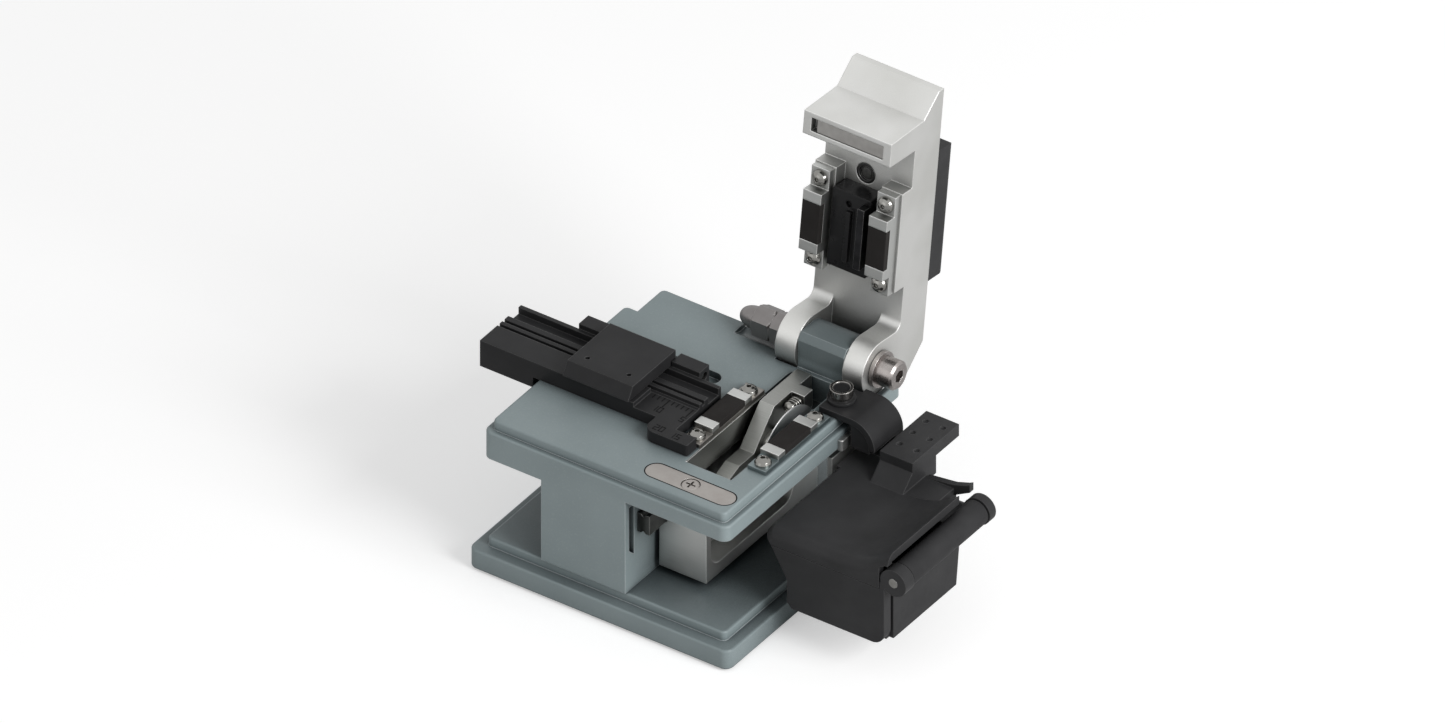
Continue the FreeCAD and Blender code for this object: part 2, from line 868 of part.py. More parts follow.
ear_spans = [("ear_left_out - side_play", "lug_left"), ("lug_right", "ear_right_out + side_play")]
rim_points = deck_outline("0")
step_points = deck_outline("deck_step_inset")

body_frame = new_body("body_frame")
pad(body_frame, "XY", outline(*rim_points), "deck_thin_low", "deck_rim")
pad(body_frame, "XY", outline(*deck_outline("0", "pedestal_right")), "deck_skirt_low", "deck_thin_low")
fillet(body_frame, "deck_corner", along("z", *outward(rim_points)))
fillet(body_frame, "soft_edge", rim("z", "deck_rim"))
pad(body_frame, "XY", outline(*step_points), "deck_rim", "deck_top")
fillet(body_frame, "step_corner", along("z", *outward(step_points)))
fillet(body_frame, "soft_edge", rim("z", "deck_top"))
pad(body_frame, "XY", oblong("-pedestal_left", "pedestal_right", "deck_front", "pedestal_back"),
    "base_top", "deck_thin_low")
pad(body_frame, "XY", oblong("pedestal_right", "deck_half_width", "front + rib_front", "front + rib_back"),
    "deck_thin_low - rib_drop", "deck_thin_low")
pad(body_frame, "YZ", outline(
    ("hinge_y - lug_front", "deck_top"),
    ("hinge_y - lug_front", "hinge_z + lug_rise - lug_chamfer_tall"),
    ("hinge_y - lug_front + lug_chamfer_deep", "hinge_z + lug_rise"),
    ("hinge_y", "hinge_z + lug_rise", "lug_rise", -1),
    ("hinge_y + lug_rise", "hinge_z"),
    ("hinge_y + lug_rise", "deck_top")), "lug_left", "lug_right")
for low, high in ear_spans:
    pocket(body_frame, "YZ", disc("hinge_y", "hinge_z", "hub_radius + swing_play"), low, high)
pocket(body_frame, "XY", [oblong(low, high, "hinge_y + tail_start", "deck_back + 1") for low,
                          high in ear_spans],
       "deck_thin_low", "deck_top + 1")
pocket(body_frame, "YZ", disc("hinge_y", "hinge_z", "washer_radius + swing_play"),
       "-nut_recess_left", ear_spans[0][0])
pocket(body_frame, "YZ", disc("hinge_y", "hinge_z", "bolt_radius + shaft_play"), "lug_left", "lug_right")
slot_rear = "front + slot_back"
pocket(body_frame, "XY", outline(
    ("slot_left", "front + slot_front"),
    ("slot_right", "front + slot_front"),
    ("slot_right", slot_rear + " - slot_corner", "slot_corner", 1),
    ("slot_right - slot_corner", slot_rear),
    ("slot_left + slot_corner", slot_rear, "slot_corner", 1),
    ("slot_left", slot_rear + " - slot_corner")), "deck_thin_low", "deck_top")
pocket(body_frame, "YZ", outline(
    ("front + groove_front", "groove_low + groove_width"),
    ("front + groove_front + groove_width", "groove_low"),
    ("front + groove_front + groove_width", "groove_high"),
    ("front + groove_front", "groove_high")), "pedestal_right - groove_depth", "pedestal_right")
swing_middle = "front + (swing_recess_front + swing_recess_back)/2"
swing_radius = "(swing_recess_back - swing_recess_front)/2"
pocket(body_frame, "XY", stadium("-swing_recess_left + (%s)" % swing_radius,
                                 "swing_recess_right - (%s)" % swing_radius, swing_middle, swing_radius),
       "deck_top - swing_recess_deep", "deck_top")

# Strike plate let into the deck

strike_ends = ("strike_centre - (strike_length - strike_width)/2",
               "strike_centre + (strike_length - strike_width)/2",
               "front + strike_back")
strike_low = "deck_top - strike_thick"
strike_seat = "deck_top - screw_head_rise"
pocket(body_frame, "XY", stadium(*strike_ends, "strike_width/2 + fit_gap"), strike_low, "deck_top")

strike_plate = new_body("strike_plate")
pad(strike_plate, "XY", stadium(*strike_ends, "strike_width/2"), strike_low, "deck_top")
pocket(strike_plate, "XY", disc("strike_centre", strike_ends[2], "strike_head + fit_gap"), strike_seat,
       "deck_top")
pocket(strike_plate, "XY", disc("strike_centre", strike_ends[2], "screw_radius + screw_play"), strike_low,
       strike_seat)
node("strike_plate", strike_plate)
node("strike_screw", screw("strike_screw", "+Z", ("strike_centre", strike_ends[2], strike_seat),
                           "screw_radius", "screw_length", "strike_head", "screw_head_rise", "strike_cross",
                           crown=CAP_HEAD, drive=cross))

# Lower fibre clamps

clamp_spots = [(x, "fibre_y %s clamp_screw" % sign) for x in ("clamp_left", "clamp_right") for sign in "-+"]
for name, x in (("left", "clamp_left"), ("right", "clamp_right")):
    base = clamp(name + "_clamp_base", x, lower)
    holes = [disc(*spot_xy, "screw_radius + screw_play") for spot_xy in clamp_spots if spot_xy[0] == x]
    pocket(base, "XY", holes, "deck_top", "deck_top + foot_thick")
    node(name + "_clamp_base", base)
    node(name + "_clamp_pad", rubber(name + "_clamp_pad", x, lower, "fibre_rise"))
node("clamp_screws", *[
    screw("clamp_screw_%d" % number, "+Z", (x, y, "deck_top + foot_thick"), "screw_radius", "screw_length",
          "screw_head_radius", "screw_head_rise", "screw_socket")
    for number, (x, y) in enumerate(clamp_spots, start=1)])
deck_holes = clamp_spots + [("strike_centre", strike_ends[2])]
for x, y in clamp_spots:
    pocket(body_frame, "XY", disc(x, y, "screw_radius + screw_play"),
           "deck_top + foot_thick - screw_length - fit_gap", "deck_top")
pocket(body_frame, "XY", disc(*deck_holes[-1], "screw_radius + screw_play"),
       "%s - screw_length - fit_gap" % strike_seat, strike_low)

# Guide rail on the pedestal's flank

rail_centre = "pedestal_right + rail_width/2"


def rail_side(level, sign):
    """One long side of the rail's profile, with its running groove."""
    return [("%s - rail_groove" % rail_centre, level), (rail_centre, "%s %s rail_groove" % (level, sign)),
            ("%s + rail_groove" % rail_centre, level)]


rail_screws = [("front + rail_screw_first + %d*rail_screw_pitch" % number,
                "rail_middle") for number in range(3)]
guide_rail = new_body("guide_rail")
pad(guide_rail, "XZ", outline(
    ("pedestal_right", "rail_low"), *rail_side("rail_low", "+"), ("rail_right", "rail_low"),
    ("rail_right", "rail_high"), *reversed(rail_side("rail_high", "-")), ("pedestal_right", "rail_high")),
    "front + rail_front", "front + rail_back")
pocket(guide_rail, "YZ", [disc(y, z, "rail_screw_head + fit_gap") for y, z in rail_screws], "rail_seat",
       "rail_right")
pocket(guide_rail, "YZ", [disc(y, z, "rail_screw_radius + screw_play") for y, z in rail_screws],
       "pedestal_right", "rail_seat")
node("guide_rail", guide_rail)
pocket(body_frame, "YZ", [disc(y, z, "rail_screw_radius + screw_play") for y, z in rail_screws],
       "rail_seat - rail_screw_length - fit_gap", "pedestal_right")
node("rail_screws", *[
    screw("rail_screw_%d" % number, "+X", ("rail_seat", y, z), "rail_screw_radius", "rail_screw_length",
          "rail_screw_head", "rail_screw_rise", "rail_screw_radius")
    for number, (y, z) in enumerate(rail_screws, start=1)])

# Fibre holder on the deck

bar = ("front + holder_front", "front + fence_back")
holder_bar = new_body("holder_bar")
pad(holder_bar, "YZ", oblong(*bar, "deck_top", "holder_top"), "-holder_left", "holder_right")
pad(holder_bar, "XY", oblong("-holder_left", "-deck_half_width - fit_gap", *bar), "holder_under", "deck_top")
pad(holder_bar, "XY", outline(
    ("ruler_left", "front + ruler_front"), ("ruler_right", "front + ruler_front"),
    ("ruler_right", "front + ruler_tongue_back"), ("holder_right", "front + ruler_tongue_back"),
    ("holder_right", bar[0]), ("ruler_left", bar[0])), "deck_top", "ruler_top")
fillet(holder_bar, "ruler_corner", along("z", ("ruler_left", "front + ruler_front")))
fillet(holder_bar, "soft_edge", along("z", ("ruler_right", "front + ruler_front")))
for low, high in (("-knuckle_left", "-cover_left - fit_gap*2"),
                  ("-cover_right + fit_gap*2", "knuckle_right")):
    pad(holder_bar, "YZ", oblong("front + knuckle_front", "front + holder_back", "deck_top",
                                 "knuckle_top"), low, high)
pocket(holder_bar, "XY", oblong("-ruler_strip_left", "holder_right", bar[0], "front + ruler_strip_back"),
       "ruler_top", "holder_top")
for middle in ("slit_first", "slit_second"):
    pocket(holder_bar, "XY", oblong("-holder_left", "holder_right", "front + %s - slit_width/2" % middle,
                                    "front + %s + slit_width/2" % middle), "holder_top - slit_deep",
                                    "holder_top")
pocket(holder_bar, "XY", oblong("-holder_left", "holder_right", "front + channel_front",
                                "front + channel_back"),
       "channel_floor", "holder_top")
pocket(holder_bar, "YZ", disc("holder_pin_y", "holder_pin_z", "holder_pin_radius + shaft_play"),
       "-knuckle_left + soft_edge", "knuckle_right")
node("holder_bar", holder_bar)

holder_pin = new_body("holder_pin")
pad(holder_pin, "YZ", disc("holder_pin_y", "holder_pin_z", "holder_pin_radius"),
    "-knuckle_left + soft_edge", "knuckle_right - soft_edge")
node("holder_pin", holder_pin)

cover = ("front + cover_front", "front + cover_back")
holder_lid = new_body("holder_lid")
pad(holder_lid, "YZ", outline(
    (cover[0], "cover_low"), (cover[1], "cover_low"), (cover[1], "cover_top"),
    ("%s + cover_bevel" % cover[0], "cover_top")), "-cover_left", "-cover_right")
pad(holder_lid, "YZ", disc("holder_pin_y", "holder_pin_z", "cover_barrel"), "-cover_left", "-cover_right")
pocket(holder_lid, "YZ", disc("holder_pin_y", "holder_pin_z", "holder_pin_radius + shaft_play"),
       "-cover_left", "-cover_right")
presser_edge = ("-cover_left + presser_inset", "-cover_right - presser_inset",
                "front + channel_front + presser_play", "front + channel_back - presser_play")
presser_high = "channel_floor + presser_gap + presser_thick"
pocket(holder_lid, "XY", oblong(*presser_edge), "cover_low", presser_high)
lid_pins = [(x, "front + cover_hole_front")
            for x in ("-cover_left + cover_hole_side", "-cover_right - cover_hole_side")]
pocket(holder_lid, "XY", [disc(x, y, "cover_pin_hole") for x, y in lid_pins],
       "cover_top - cover_pin_hole_deep", "cover_top")
node("holder_lid", holder_lid)

presser_pad = new_body("presser_pad")
pad(presser_pad, "XY", oblong(*presser_edge), "channel_floor + presser_gap", presser_high)
node("presser_pad", presser_pad)

# Hinge bolt with its washers and nuts

hinge = ("hinge_y", "hinge_z")
washer_right = "ear_right_out + fit_gap"
bolt_seat = washer_right + " + washer_thick"
brass_right = "ear_left_out - fit_gap"
nut_right = brass_right + " - brass_washer_thick"
acorn_right = nut_right + " - nut_thick"
acorn_neck = acorn_right + " - acorn_thick"


def ring(label, outer, inner, low, high):
    body = new_body(label)
    pad(body, "YZ", [disc(*hinge, outer), disc(*hinge, inner)], low, high)
    return body


hinge_bolt = screw("hinge_bolt", "+X", (bolt_seat,) + hinge, "bolt_radius",
                   "%s - (%s)" % (bolt_seat, acorn_right),
                   "bolt_head_radius", "bolt_head_rise", "bolt_socket", crown=CAP_HEAD)
node("hinge_bolt", hinge_bolt)
node("hinge_washer", ring("hinge_washer", "washer_radius", "bolt_radius + shaft_play", washer_right,
                          bolt_seat))
node("brass_washer", ring("brass_washer", "washer_radius", "bolt_radius + shaft_play", nut_right,
                          brass_right))
hinge_nut = new_body("hinge_nut")
pad(hinge_nut, "YZ", [hexagon(*hinge, "nut_across"), disc(*hinge, "bolt_radius + shaft_play")],
    acorn_right, nut_right)
node("hinge_nut", hinge_nut)
acorn_nut = new_body("acorn_nut")
pad(acorn_nut, "YZ", hexagon(*hinge, "nut_across"), acorn_neck, acorn_right)
turn(acorn_nut, "-X", (acorn_neck,) + hinge, [
    ("-acorn_thick/2", "0"),
    ("-acorn_thick/2", "acorn_neck"),
    ("0.4", "acorn_dome"),
    ("acorn_rise*0.4", "acorn_dome*0.97"),
    ("acorn_rise*0.65", "acorn_dome*0.83"),
    ("acorn_rise*0.85", "acorn_dome*0.58"),
    ("acorn_rise*0.97", "acorn_dome*0.25"),
    ("acorn_rise", "0"),
])
node("acorn_nut", acorn_nut)

# Lid: measured along the arm (Z) and forward of the hinge (-Y), then leaned back

ears = [("ear_left_out", "ear_left_in"), ("ear_right_in", "ear_right_out")]
arm_sides = ("ear_left_out", "ear_right_out")
heel_slope = "(arm_back - heel_front)/(heel_low - heel_rise)"

lid_arm = new_body("lid_arm")
pad(lid_arm, "YZ", outline(
    ("arm_front", "-web_low"),
    ("arm_front", "bar_low"),
    ("-bar_front", "bar_low"),
    ("-bar_front", "bar_high"),
    ("arm_back - (flap_top - flap_foot) - flap_thick", "flap_foot"),
    ("arm_back - flap_thick", "flap_top"),
    ("arm_back", "flap_top"),
    ("arm_back", "-heel_rise"),
    ("arm_back - (web_low - heel_rise)*%s" % heel_slope, "-web_low")), *arm_sides)
for low, high in ears:
    pad(lid_arm, "YZ", disc("0", "0", "hub_radius"), low, high)
    pad(lid_arm, "YZ", outline(
        ("0", "0"),
        ("0", "hub_radius"),
        ("arm_front - inner_round", "hub_radius", "inner_round", 1),
        ("arm_front", "hub_radius + inner_round"),
        ("arm_front", "seat_low"),
        ("arm_back", "seat_low"),
        ("arm_back", "-heel_rise"),
        ("heel_front", "-heel_low"),
        ("tail_foot", "-tail_drop")), low, high)
seats = [("ear_left_out", "ear_left_out + seat_width"), ("ear_right_out - seat_width", "ear_right_out")]
for low, high in seats:
    pad(lid_arm, "XZ", oblong(low, high, "seat_low", "seat_high"), "seat_front", "arm_front")
pocket(lid_arm, "YZ", disc("0", "0", "bolt_radius + shaft_play"), *arm_sides)
arm_screws = [(x, "arm_clamp %s clamp_screw" % sign) for x in ("clamp_left", "clamp_right") for sign in "-+"]
pocket(lid_arm, "XZ", [disc(x, z, "screw_radius + screw_play") for x, z in arm_screws],
       "seat_front", "seat_front - upper_foot + screw_length + fit_gap")
bar_middle = "(bar_low + bar_high)/2"
magnet_high = (bar_middle + " - magnet_tall/2", bar_middle + " + magnet_tall/2")
magnet_edge = ("magnet_left + magnet_gap", "magnet_right - fit_gap") + magnet_high
pocket(lid_arm, "XZ", oblong("magnet_left", "magnet_right", magnet_high[0] + " - fit_gap",
                             magnet_high[1] + " + fit_gap"),
       "-bar_front", "-bar_front + magnet_deep")
button = ("lid_centre + button_side", "button_up")
pocket(lid_arm, "XZ", disc(*button, "button_ring + fit_gap"), "arm_front", "arm_front + button_deep")
node("lid_arm", lid_arm)

lid_magnet = new_body("lid_magnet")
pad(lid_magnet, "XZ", oblong(*magnet_edge), "-bar_front + fit_gap*2", "-bar_front + magnet_deep")
node("lid_magnet", lid_magnet)

lid_button = new_body("lid_button")
pad(lid_button, "XZ", disc(*button, "button_ring"), "arm_front", "arm_front + button_deep")
pocket(lid_button, "XZ", disc(*button, "button_radius"), "arm_front", "arm_front + button_dish")
pad(lid_button, "XZ", disc(*button, "button_radius - button_dish"), "arm_front + button_dish/2",
    "arm_front + button_dish")
node("lid_button", lid_button)

for name, x in (("left", "clamp_left"), ("right", "clamp_right")):
    block = clamp(name + "_upper_clamp", x, upper)
    holes = [disc(*spot_xz, "screw_radius + screw_play") for spot_xz in arm_screws if spot_xz[0] == x]
    pocket(block, "XZ", holes, "seat_front - upper_foot", "seat_front")
    node(name + "_upper_clamp", block)
    node(name + "_upper_pad", rubber(name + "_upper_pad", x, upper, "upper_rise"))
upper_screws = [
    screw("upper_screw_%d" % number, "-Y", (x, "seat_front - upper_foot", z), "screw_radius", "screw_length",
          "screw_head_radius", "screw_head_rise", "screw_socket")
    for number, (x, z) in enumerate(arm_screws, start=1)]
node("upper_clamp_screws", *upper_screws)

carrier_face = "arm_front - anvil_thick"
anvil_carrier = new_body("anvil_carrier")
carrier_sides = ("lid_centre - anvil_left", "lid_centre + anvil_right")
pad(anvil_carrier, "XZ", oblong(*carrier_sides, "carrier_low", "carrier_high"), carrier_face, "arm_front")
ridge_sides = ("carrier_ridge - ridge_half", "carrier_ridge + ridge_half")
pad(anvil_carrier, "XZ", oblong(*ridge_sides, "ridge_low", "ridge_high"), carrier_face + " - ridge_rise",
    carrier_face)
fillet(anvil_carrier, "soft_edge", along("y", *[(side, "carrier_high") for side in carrier_sides]))
pocket(anvil_carrier, "XZ", disc("carrier_hole_x", "carrier_hole_up", "carrier_hole"),
       carrier_face, carrier_face + " + ridge_rise")
node("anvil_carrier", anvil_carrier)

anvil = new_body("anvil")
pad(anvil, "XZ", oblong("blade_plane - anvil_half_width", "blade_plane + anvil_half_width",
                        "arm_clamp - anvil_half_length", "arm_clamp + anvil_half_length"),
    "-anvil_tip", carrier_face)
node("anvil", anvil)

rear_housing = new_body("rear_housing")
shell = ("ear_left_out + housing_side", "ear_right_out - housing_side", "housing_low", "housing_high")
pad(rear_housing, "XZ", oblong(*shell), "arm_back", "arm_back + housing_deep")
fillet(rear_housing, "housing_round", rim("y", "arm_back + housing_deep"))
room = [text + wall for text, wall in zip(shell, (" + housing_wall", " - housing_wall", " + housing_wall",
                                                  " - housing_wall"))]
pocket(rear_housing, "XZ", oblong(*room), "arm_back", "arm_back + housing_deep - housing_wall")
node("rear_housing", rear_housing)

lid_bodies = [lid_arm, lid_magnet, lid_button, anvil_carrier, anvil, rear_housing] + upper_screws
lid_bodies += [body for body in NODES if body.Label.endswith(("_upper_clamp", "_upper_pad"))]
for body in lid_bodies:
    lean(body)

# Blade carriage

carriage = ("front + carriage_front", "front + carriage_front + carriage_length")
passage = ("rail_right + slide_gap", "rail_low - slide_gap", "rail_high + slide_gap")
runner_low, runner_high = "rail_middle - runner_tall/2", "rail_middle + runner_tall/2"
window = ("front + window_front", "front + window_back", "window_low", "window_high")

carriage_block = new_body("carriage_block")
pad(carriage_block, "YZ", oblong(*carriage, "carriage_low", "carriage_high"), "carriage_left",
    "carriage_right")
pocket(carriage_block, "YZ", oblong(*window), "carriage_right - window_deep", "carriage_right")
fillet(carriage_block, "window_corner", along("x", *corners(*window)))
pocket(carriage_block, "XZ", oblong("carriage_left", "%s" % passage[0], passage[1], passage[2]), *carriage)
pocket(carriage_block, "XZ", oblong("carriage_left", "runner_right", runner_low + " - shaft_play",
                                    runner_high + " + shaft_play"),
       "front + runner_front", carriage[1])
pocket(carriage_block, "YZ", disc("blade_y", "blade_z", "hub_disc + fit_gap*2"), "bracket_right",
       "carriage_right")
node("carriage_block", carriage_block)

guide_block = new_body("guide_block")
pad(guide_block, "XZ", outline(
    ("runner_left", runner_low),
    ("runner_right", runner_low),
    ("runner_right", runner_high),
    ("runner_left", runner_high),
    ("runner_left", passage[2]),
    (passage[0], passage[2]),
    (passage[0], passage[1]),
    ("runner_left", passage[1])), "front + runner_front", "front + runner_front + runner_length")
node("guide_block", guide_block)

blade_bracket = new_body("blade_bracket")
pad(blade_bracket, "YZ", outline(
    ("front + bracket_toe", "carriage_high"),
    ("front + bracket_shelf", "bracket_shelf_top"),
    ("front + bracket_slope", "bracket_shelf_top"),
    ("front + bracket_head", "bracket_top"),
    ("front + bracket_heel", "bracket_top"),
    ("front + bracket_heel", "carriage_high")), "bracket_left", "bracket_right")
pad(blade_bracket, "YZ", oblong("front + yoke_front", "front + yoke_back", "yoke_low", "bracket_top"),
    "bracket_right", "yoke_right")
pocket(blade_bracket, "XZ", disc("adjuster_x", "adjuster_z", "adjuster_radius + screw_play"),
       "front + yoke_front", "front + yoke_back")
node("blade_bracket", blade_bracket)

hub = ("blade_y", "blade_z")
blade_hub = new_body("blade_hub")
hub_length = "hub_end - bracket_right"
turn(blade_hub, "+X", ("bracket_right",) + hub, [
    ("0", "0"),
    ("0", "hub_disc"),
    ("shoulder - bracket_right", "hub_disc"),
    ("shoulder - bracket_right", "spigot"),
    (hub_length, "spigot"),
    (hub_length, "0"),
])
pocket(blade_hub, "YZ", disc(*hub, "hub_screw_radius + screw_play"),
       "hub_end - hub_screw_length - fit_gap", "hub_end")
node("blade_hub", blade_hub)
node("blade_screw", screw("blade_screw", "+X", ("hub_end",) + hub, "hub_screw_radius", "hub_screw_length",
                          "hub_screw_head", "hub_screw_rise", "hub_screw_radius"))

blade = new_body("blade")
turn(blade, "+X", ("blade_plane",) + hub, [
    ("-blade_thick/2", "spigot + shaft_play"),
    ("blade_thick/2", "spigot + shaft_play"),
    ("blade_thick/2", "blade_radius - blade_bevel"),
    ("blade_edge/2", "blade_radius"),
    ("-blade_edge/2", "blade_radius"),
    ("-blade_thick/2", "blade_radius - blade_bevel"),
])
node("blade", blade)

node("adjuster_screw", screw("adjuster_screw", "-Y", ("adjuster_x", "front + adjuster_back", "adjuster_z"),
                             "adjuster_radius", "adjuster_length", "adjuster_head", "adjuster_rise",
                             "adjuster_radius*0.7"))

adjuster_spring = new_body("adjuster_spring")
wire_start = "front + adjuster_back + spring_wire"
coil = new_sketch(adjuster_spring, "XY", "adjuster_z")
disc("adjuster_x + spring_radius - spring_wire", wire_start, "spring_wire")(coil)
coil_axis = coil.addGeometry(Part.LineSegment(spot("adjuster_x", wire_start),
                                              spot("adjuster_x", wire_start + " + 1")), True)
fix_points(coil, [(coil_axis, 1, "adjuster_x", wire_start), (coil_axis, 2, "adjuster_x",
                                                             wire_start + " + 1")])
winding = adjuster_spring.newObject("PartDesign::AdditiveHelix", "adjuster_spring_winding")
winding.Profile = coil
winding.ReferenceAxis = (coil, ["Axis0"])
winding.Mode = 1
bind(winding, "Height", "yoke_front - adjuster_back - 2*spring_wire")
bind(winding, "Turns", "spring_turns")
bind(winding, "Pitch", "(yoke_front - adjuster_back - 2*spring_wire)/spring_turns")
doc.recompute()
node("adjuster_spring", adjuster_spring)

# Scrap bin with the roller beside it

roller = ("roller_x", "roller_z")
cheeks = [("front + bin_front", "front + bin_front + cheek_front"),
          ("front + roller_back - cheek_rear", "front + roller_back")]
box_depth = ("front + bin_front", "front + bin_back")
pin = ("cover_pin_y", "cover_pin_z")
bin_lugs = [("bin_lug_left", "bin_lug_left + bin_lug_width"),
            ("bin_lug_right", "bin_lug_right + bin_lug_width")]

groove = ("front + bin_front + bin_front_wall", "front + bin_front + bin_front_wall + bin_groove")
skirt_left, skirt_right = "bin_top_left + (bin_lip - cover_skirt)*0.57", "roller_x - cheek_radius - chute_gap"

bin_box = new_body("bin_box")
pad(bin_box, "XZ", outline(
    ("bin_top_left", "bin_lip"),
    ("bin_left", "bin_elbow"),
    ("bin_left", "bin_low + bin_foot"),
    ("bin_left + bin_foot", "bin_low"),
    ("bin_right - bin_corner", "bin_low", "bin_corner", 1),
    ("bin_right", "bin_low + bin_corner"),
    ("bin_right", "bin_lip")), box_depth[0], groove[0])
pad(bin_box, "XZ", outline(
    ("bin_top_left", "bin_lip"),
    ("bin_left", "bin_elbow"),
    ("bin_left", "bin_low + bin_foot"),
    ("bin_left + bin_foot", "bin_low"),
    ("bin_right", "bin_low"),
    ("bin_right", "bin_lip")), groove[0], box_depth[1])
pocket(bin_box, "XZ", outline(
    ("bin_top_left + bin_wall*1.2", "bin_lip"),
    ("bin_left + bin_wall", "bin_elbow"),
    ("bin_left + bin_wall", "bin_low + bin_wall"),
    ("bin_right - bin_wall", "bin_low + bin_wall"),
    ("bin_right - bin_wall", "bin_lip")), "front + bin_front + bin_wall",
    "front + bin_back - bin_wall - bin_rear_lean")
pocket(bin_box, "YZ", outline(
    ("front + bin_back - bin_rear_lean", "bin_low"),
    ("front + bin_back", "bin_low"),
    ("front + bin_back", "bin_rear_foot")), "bin_left", "bin_right")
pocket(bin_box, "XZ", oblong("bin_top_left", skirt_right + " + chute_gap/2", "cover_skirt - seam_gap",
                             "bin_lip"),
       "front + bin_front", "front + bin_front + skirt_thick + chute_gap")
pad(bin_box, "YZ", outline(
    ("front + bin_back", "bin_rear_foot"),
    ("front + roller_back", "roller_z - cheek_radius"),
    ("front + roller_back", "roller_z"),
    ("front + bin_back", "roller_z - 1")), "bin_right - bin_wall", "bin_right")
for low, high in cheeks:
    pad(bin_box, "XZ", disc(*roller, "cheek_radius"), low, high)
pocket(bin_box, "XZ", disc(*roller, "roller_radius + roller_gap"), cheeks[0][1], cheeks[1][0])
pocket(bin_box, "XZ", disc(*roller, "axle_radius + shaft_play"), cheeks[0][0], cheeks[1][1])
for low, high in bin_lugs:
    pad(bin_box, "YZ", outline(
        ("front + bin_back", "cover_pin_z - bin_lug_radius*2"),
        ("cover_pin_y", "cover_pin_z - bin_lug_radius"),
        ("cover_pin_y", "cover_pin_z + bin_lug_radius"),
        ("front + bin_back", "cover_pin_z + bin_lug_radius")), low, high)
    pad(bin_box, "YZ", disc(*pin, "bin_lug_radius"), low, high)
pad(bin_box, "YZ", oblong("front + bin_back", "front + strap_back", "strap_low", "boss_high"),
    "boss_left", "strap_inner")
pocket(bin_box, "YZ", disc(*pin, "bin_pin_radius + shaft_play"), "bin_lug_left",
       "bin_lug_right + bin_lug_width")
strap_screw_spot = ("front + (strap_tail_front + strap_back)/2", "(strap_low + boss_high)/2")
pocket(bin_box, "YZ", disc(*strap_screw_spot, "strap_screw_radius + screw_play"), "boss_left", "strap_inner")
pocket(bin_box, "XZ", oblong("bin_right - bin_groove", "bin_right + 1", "bin_low", "roller_z - cheek_radius"),
       *groove)
node("bin_box", bin_box)

roller_axle = new_body("roller_axle")
pad(roller_axle, "XZ", disc(*roller, "axle_radius"), cheeks[0][0], cheeks[1][1])
node("roller_axle", roller_axle)

roller_body = new_body("roller")
pad(roller_body, "XZ", [disc(*roller, "roller_radius"), disc(*roller, "axle_radius + shaft_play")],
    cheeks[0][1] + " + side_play", cheeks[1][0] + " - side_play")
node("roller", roller_body)

bin_pin = new_body("bin_pin")
pad(bin_pin, "YZ", disc(*pin, "bin_pin_radius"), "bin_lug_left", "bin_lug_right + bin_lug_width")
node("bin_pin", bin_pin)

# Cover of the bin: flat plate, concave ramp, rolled front edge and thumb tab

cover_under = "cover_flat - chute_thick"
ramp_rise = "chute_round - sqrt(pow(chute_round; 2) - pow(chute_lip - chute_flat; 2))"
bin_cover = new_body("bin_cover")
pad(bin_cover, "XZ", outline(
    ("chute_left", cover_under),
    ("chute_flat", cover_under, "chute_round + chute_thick", 1),
    ("chute_lip", "cover_flat + %s - chute_thick*1.25" % ramp_rise),
    ("chute_lip", "cover_flat + %s" % ramp_rise, "chute_round", -1),
    ("chute_flat", "cover_flat"),
    ("chute_left + cover_bevel_left", "cover_flat"),
    ("chute_left", "cover_flat - cover_bevel_left")), "front + bin_front", "front + chute_back")
skirt_top = "cheek_radius + roller_z + chute_gap"
pad(bin_cover, "XZ", outline(
    (skirt_left, "cover_skirt"),
    (skirt_right, "cover_skirt"),
    (skirt_right, skirt_top),
    ("chute_lip", skirt_top),
    ("chute_lip", "cover_flat + %s - chute_thick" % ramp_rise),
    ("chute_flat", cover_under),
    ("chute_left", cover_under)), "front + bin_front", "front + bin_front + skirt_thick")
front_top = value("cover_flat - cover_bevel_left") - NEAR, value("chute_flat") + NEAR
fillet(bin_cover, "chute_roll", rim(
    "y", "front + bin_front",
    lambda box: box.ZMin > front_top[0] and box.XMin < front_top[1] and box.XLength > 0.5))
pad(bin_cover, "XY", oblong("chute_left", "cover_plate_right", "front + chute_back", "front + cover_rear"),
    cover_under, "cover_flat")
barrel = ("bin_lug_left + bin_lug_width + side_play", "bin_lug_right - side_play")
pad(bin_cover, "YZ", oblong("cover_pin_y - 1.1", "front + cover_rear", "cover_pin_z", cover_under), *barrel)
pad(bin_cover, "YZ", disc(*pin, "bin_lug_radius"), *barrel)
pad(bin_cover, "XZ", outline(
    ("chute_flat", cover_under),
    ("cover_plate_right", cover_under),
    ("horn_right", "cover_flat + 0.5"),
    ("horn_right", "cover_flat + 2.1"),
    ("horn_right - 0.8", "cover_flat + 1.7"),
    ("cover_plate_right", "cover_flat + 0.8"),
    ("chute_flat", "cover_flat")), "front + horn_front", "front + horn_back")
pad(bin_cover, "YZ", outline(
    ("front + tab_front - 3", "cover_flat"),
    ("front + tab_front", "tab_top - 2"),
    ("front + tab_front", "tab_top"),
    ("front + tab_back", "tab_top"),
    ("front + tab_back", "tab_top - tab_thick"),
    ("front + tab_step", "tab_top - tab_thick"),
    ("front + tab_step", cover_under),
    ("front + tab_front - 3", cover_under)), "tab_left", "tab_right")
pocket(bin_cover, "YZ", disc(*pin, "bin_pin_radius + shaft_play"), *barrel)
dimples = [("(tab_left + tab_right)/2 %s dimple_pitch/2" % side,
            "front + tab_back - 2.6 - %d*dimple_rows" % row) for side in "-+" for row in range(3)]
pocket(bin_cover, "XY", [disc(x, y, "dimple_radius") for x, y in dimples], "tab_top - dimple_deep", "tab_top")
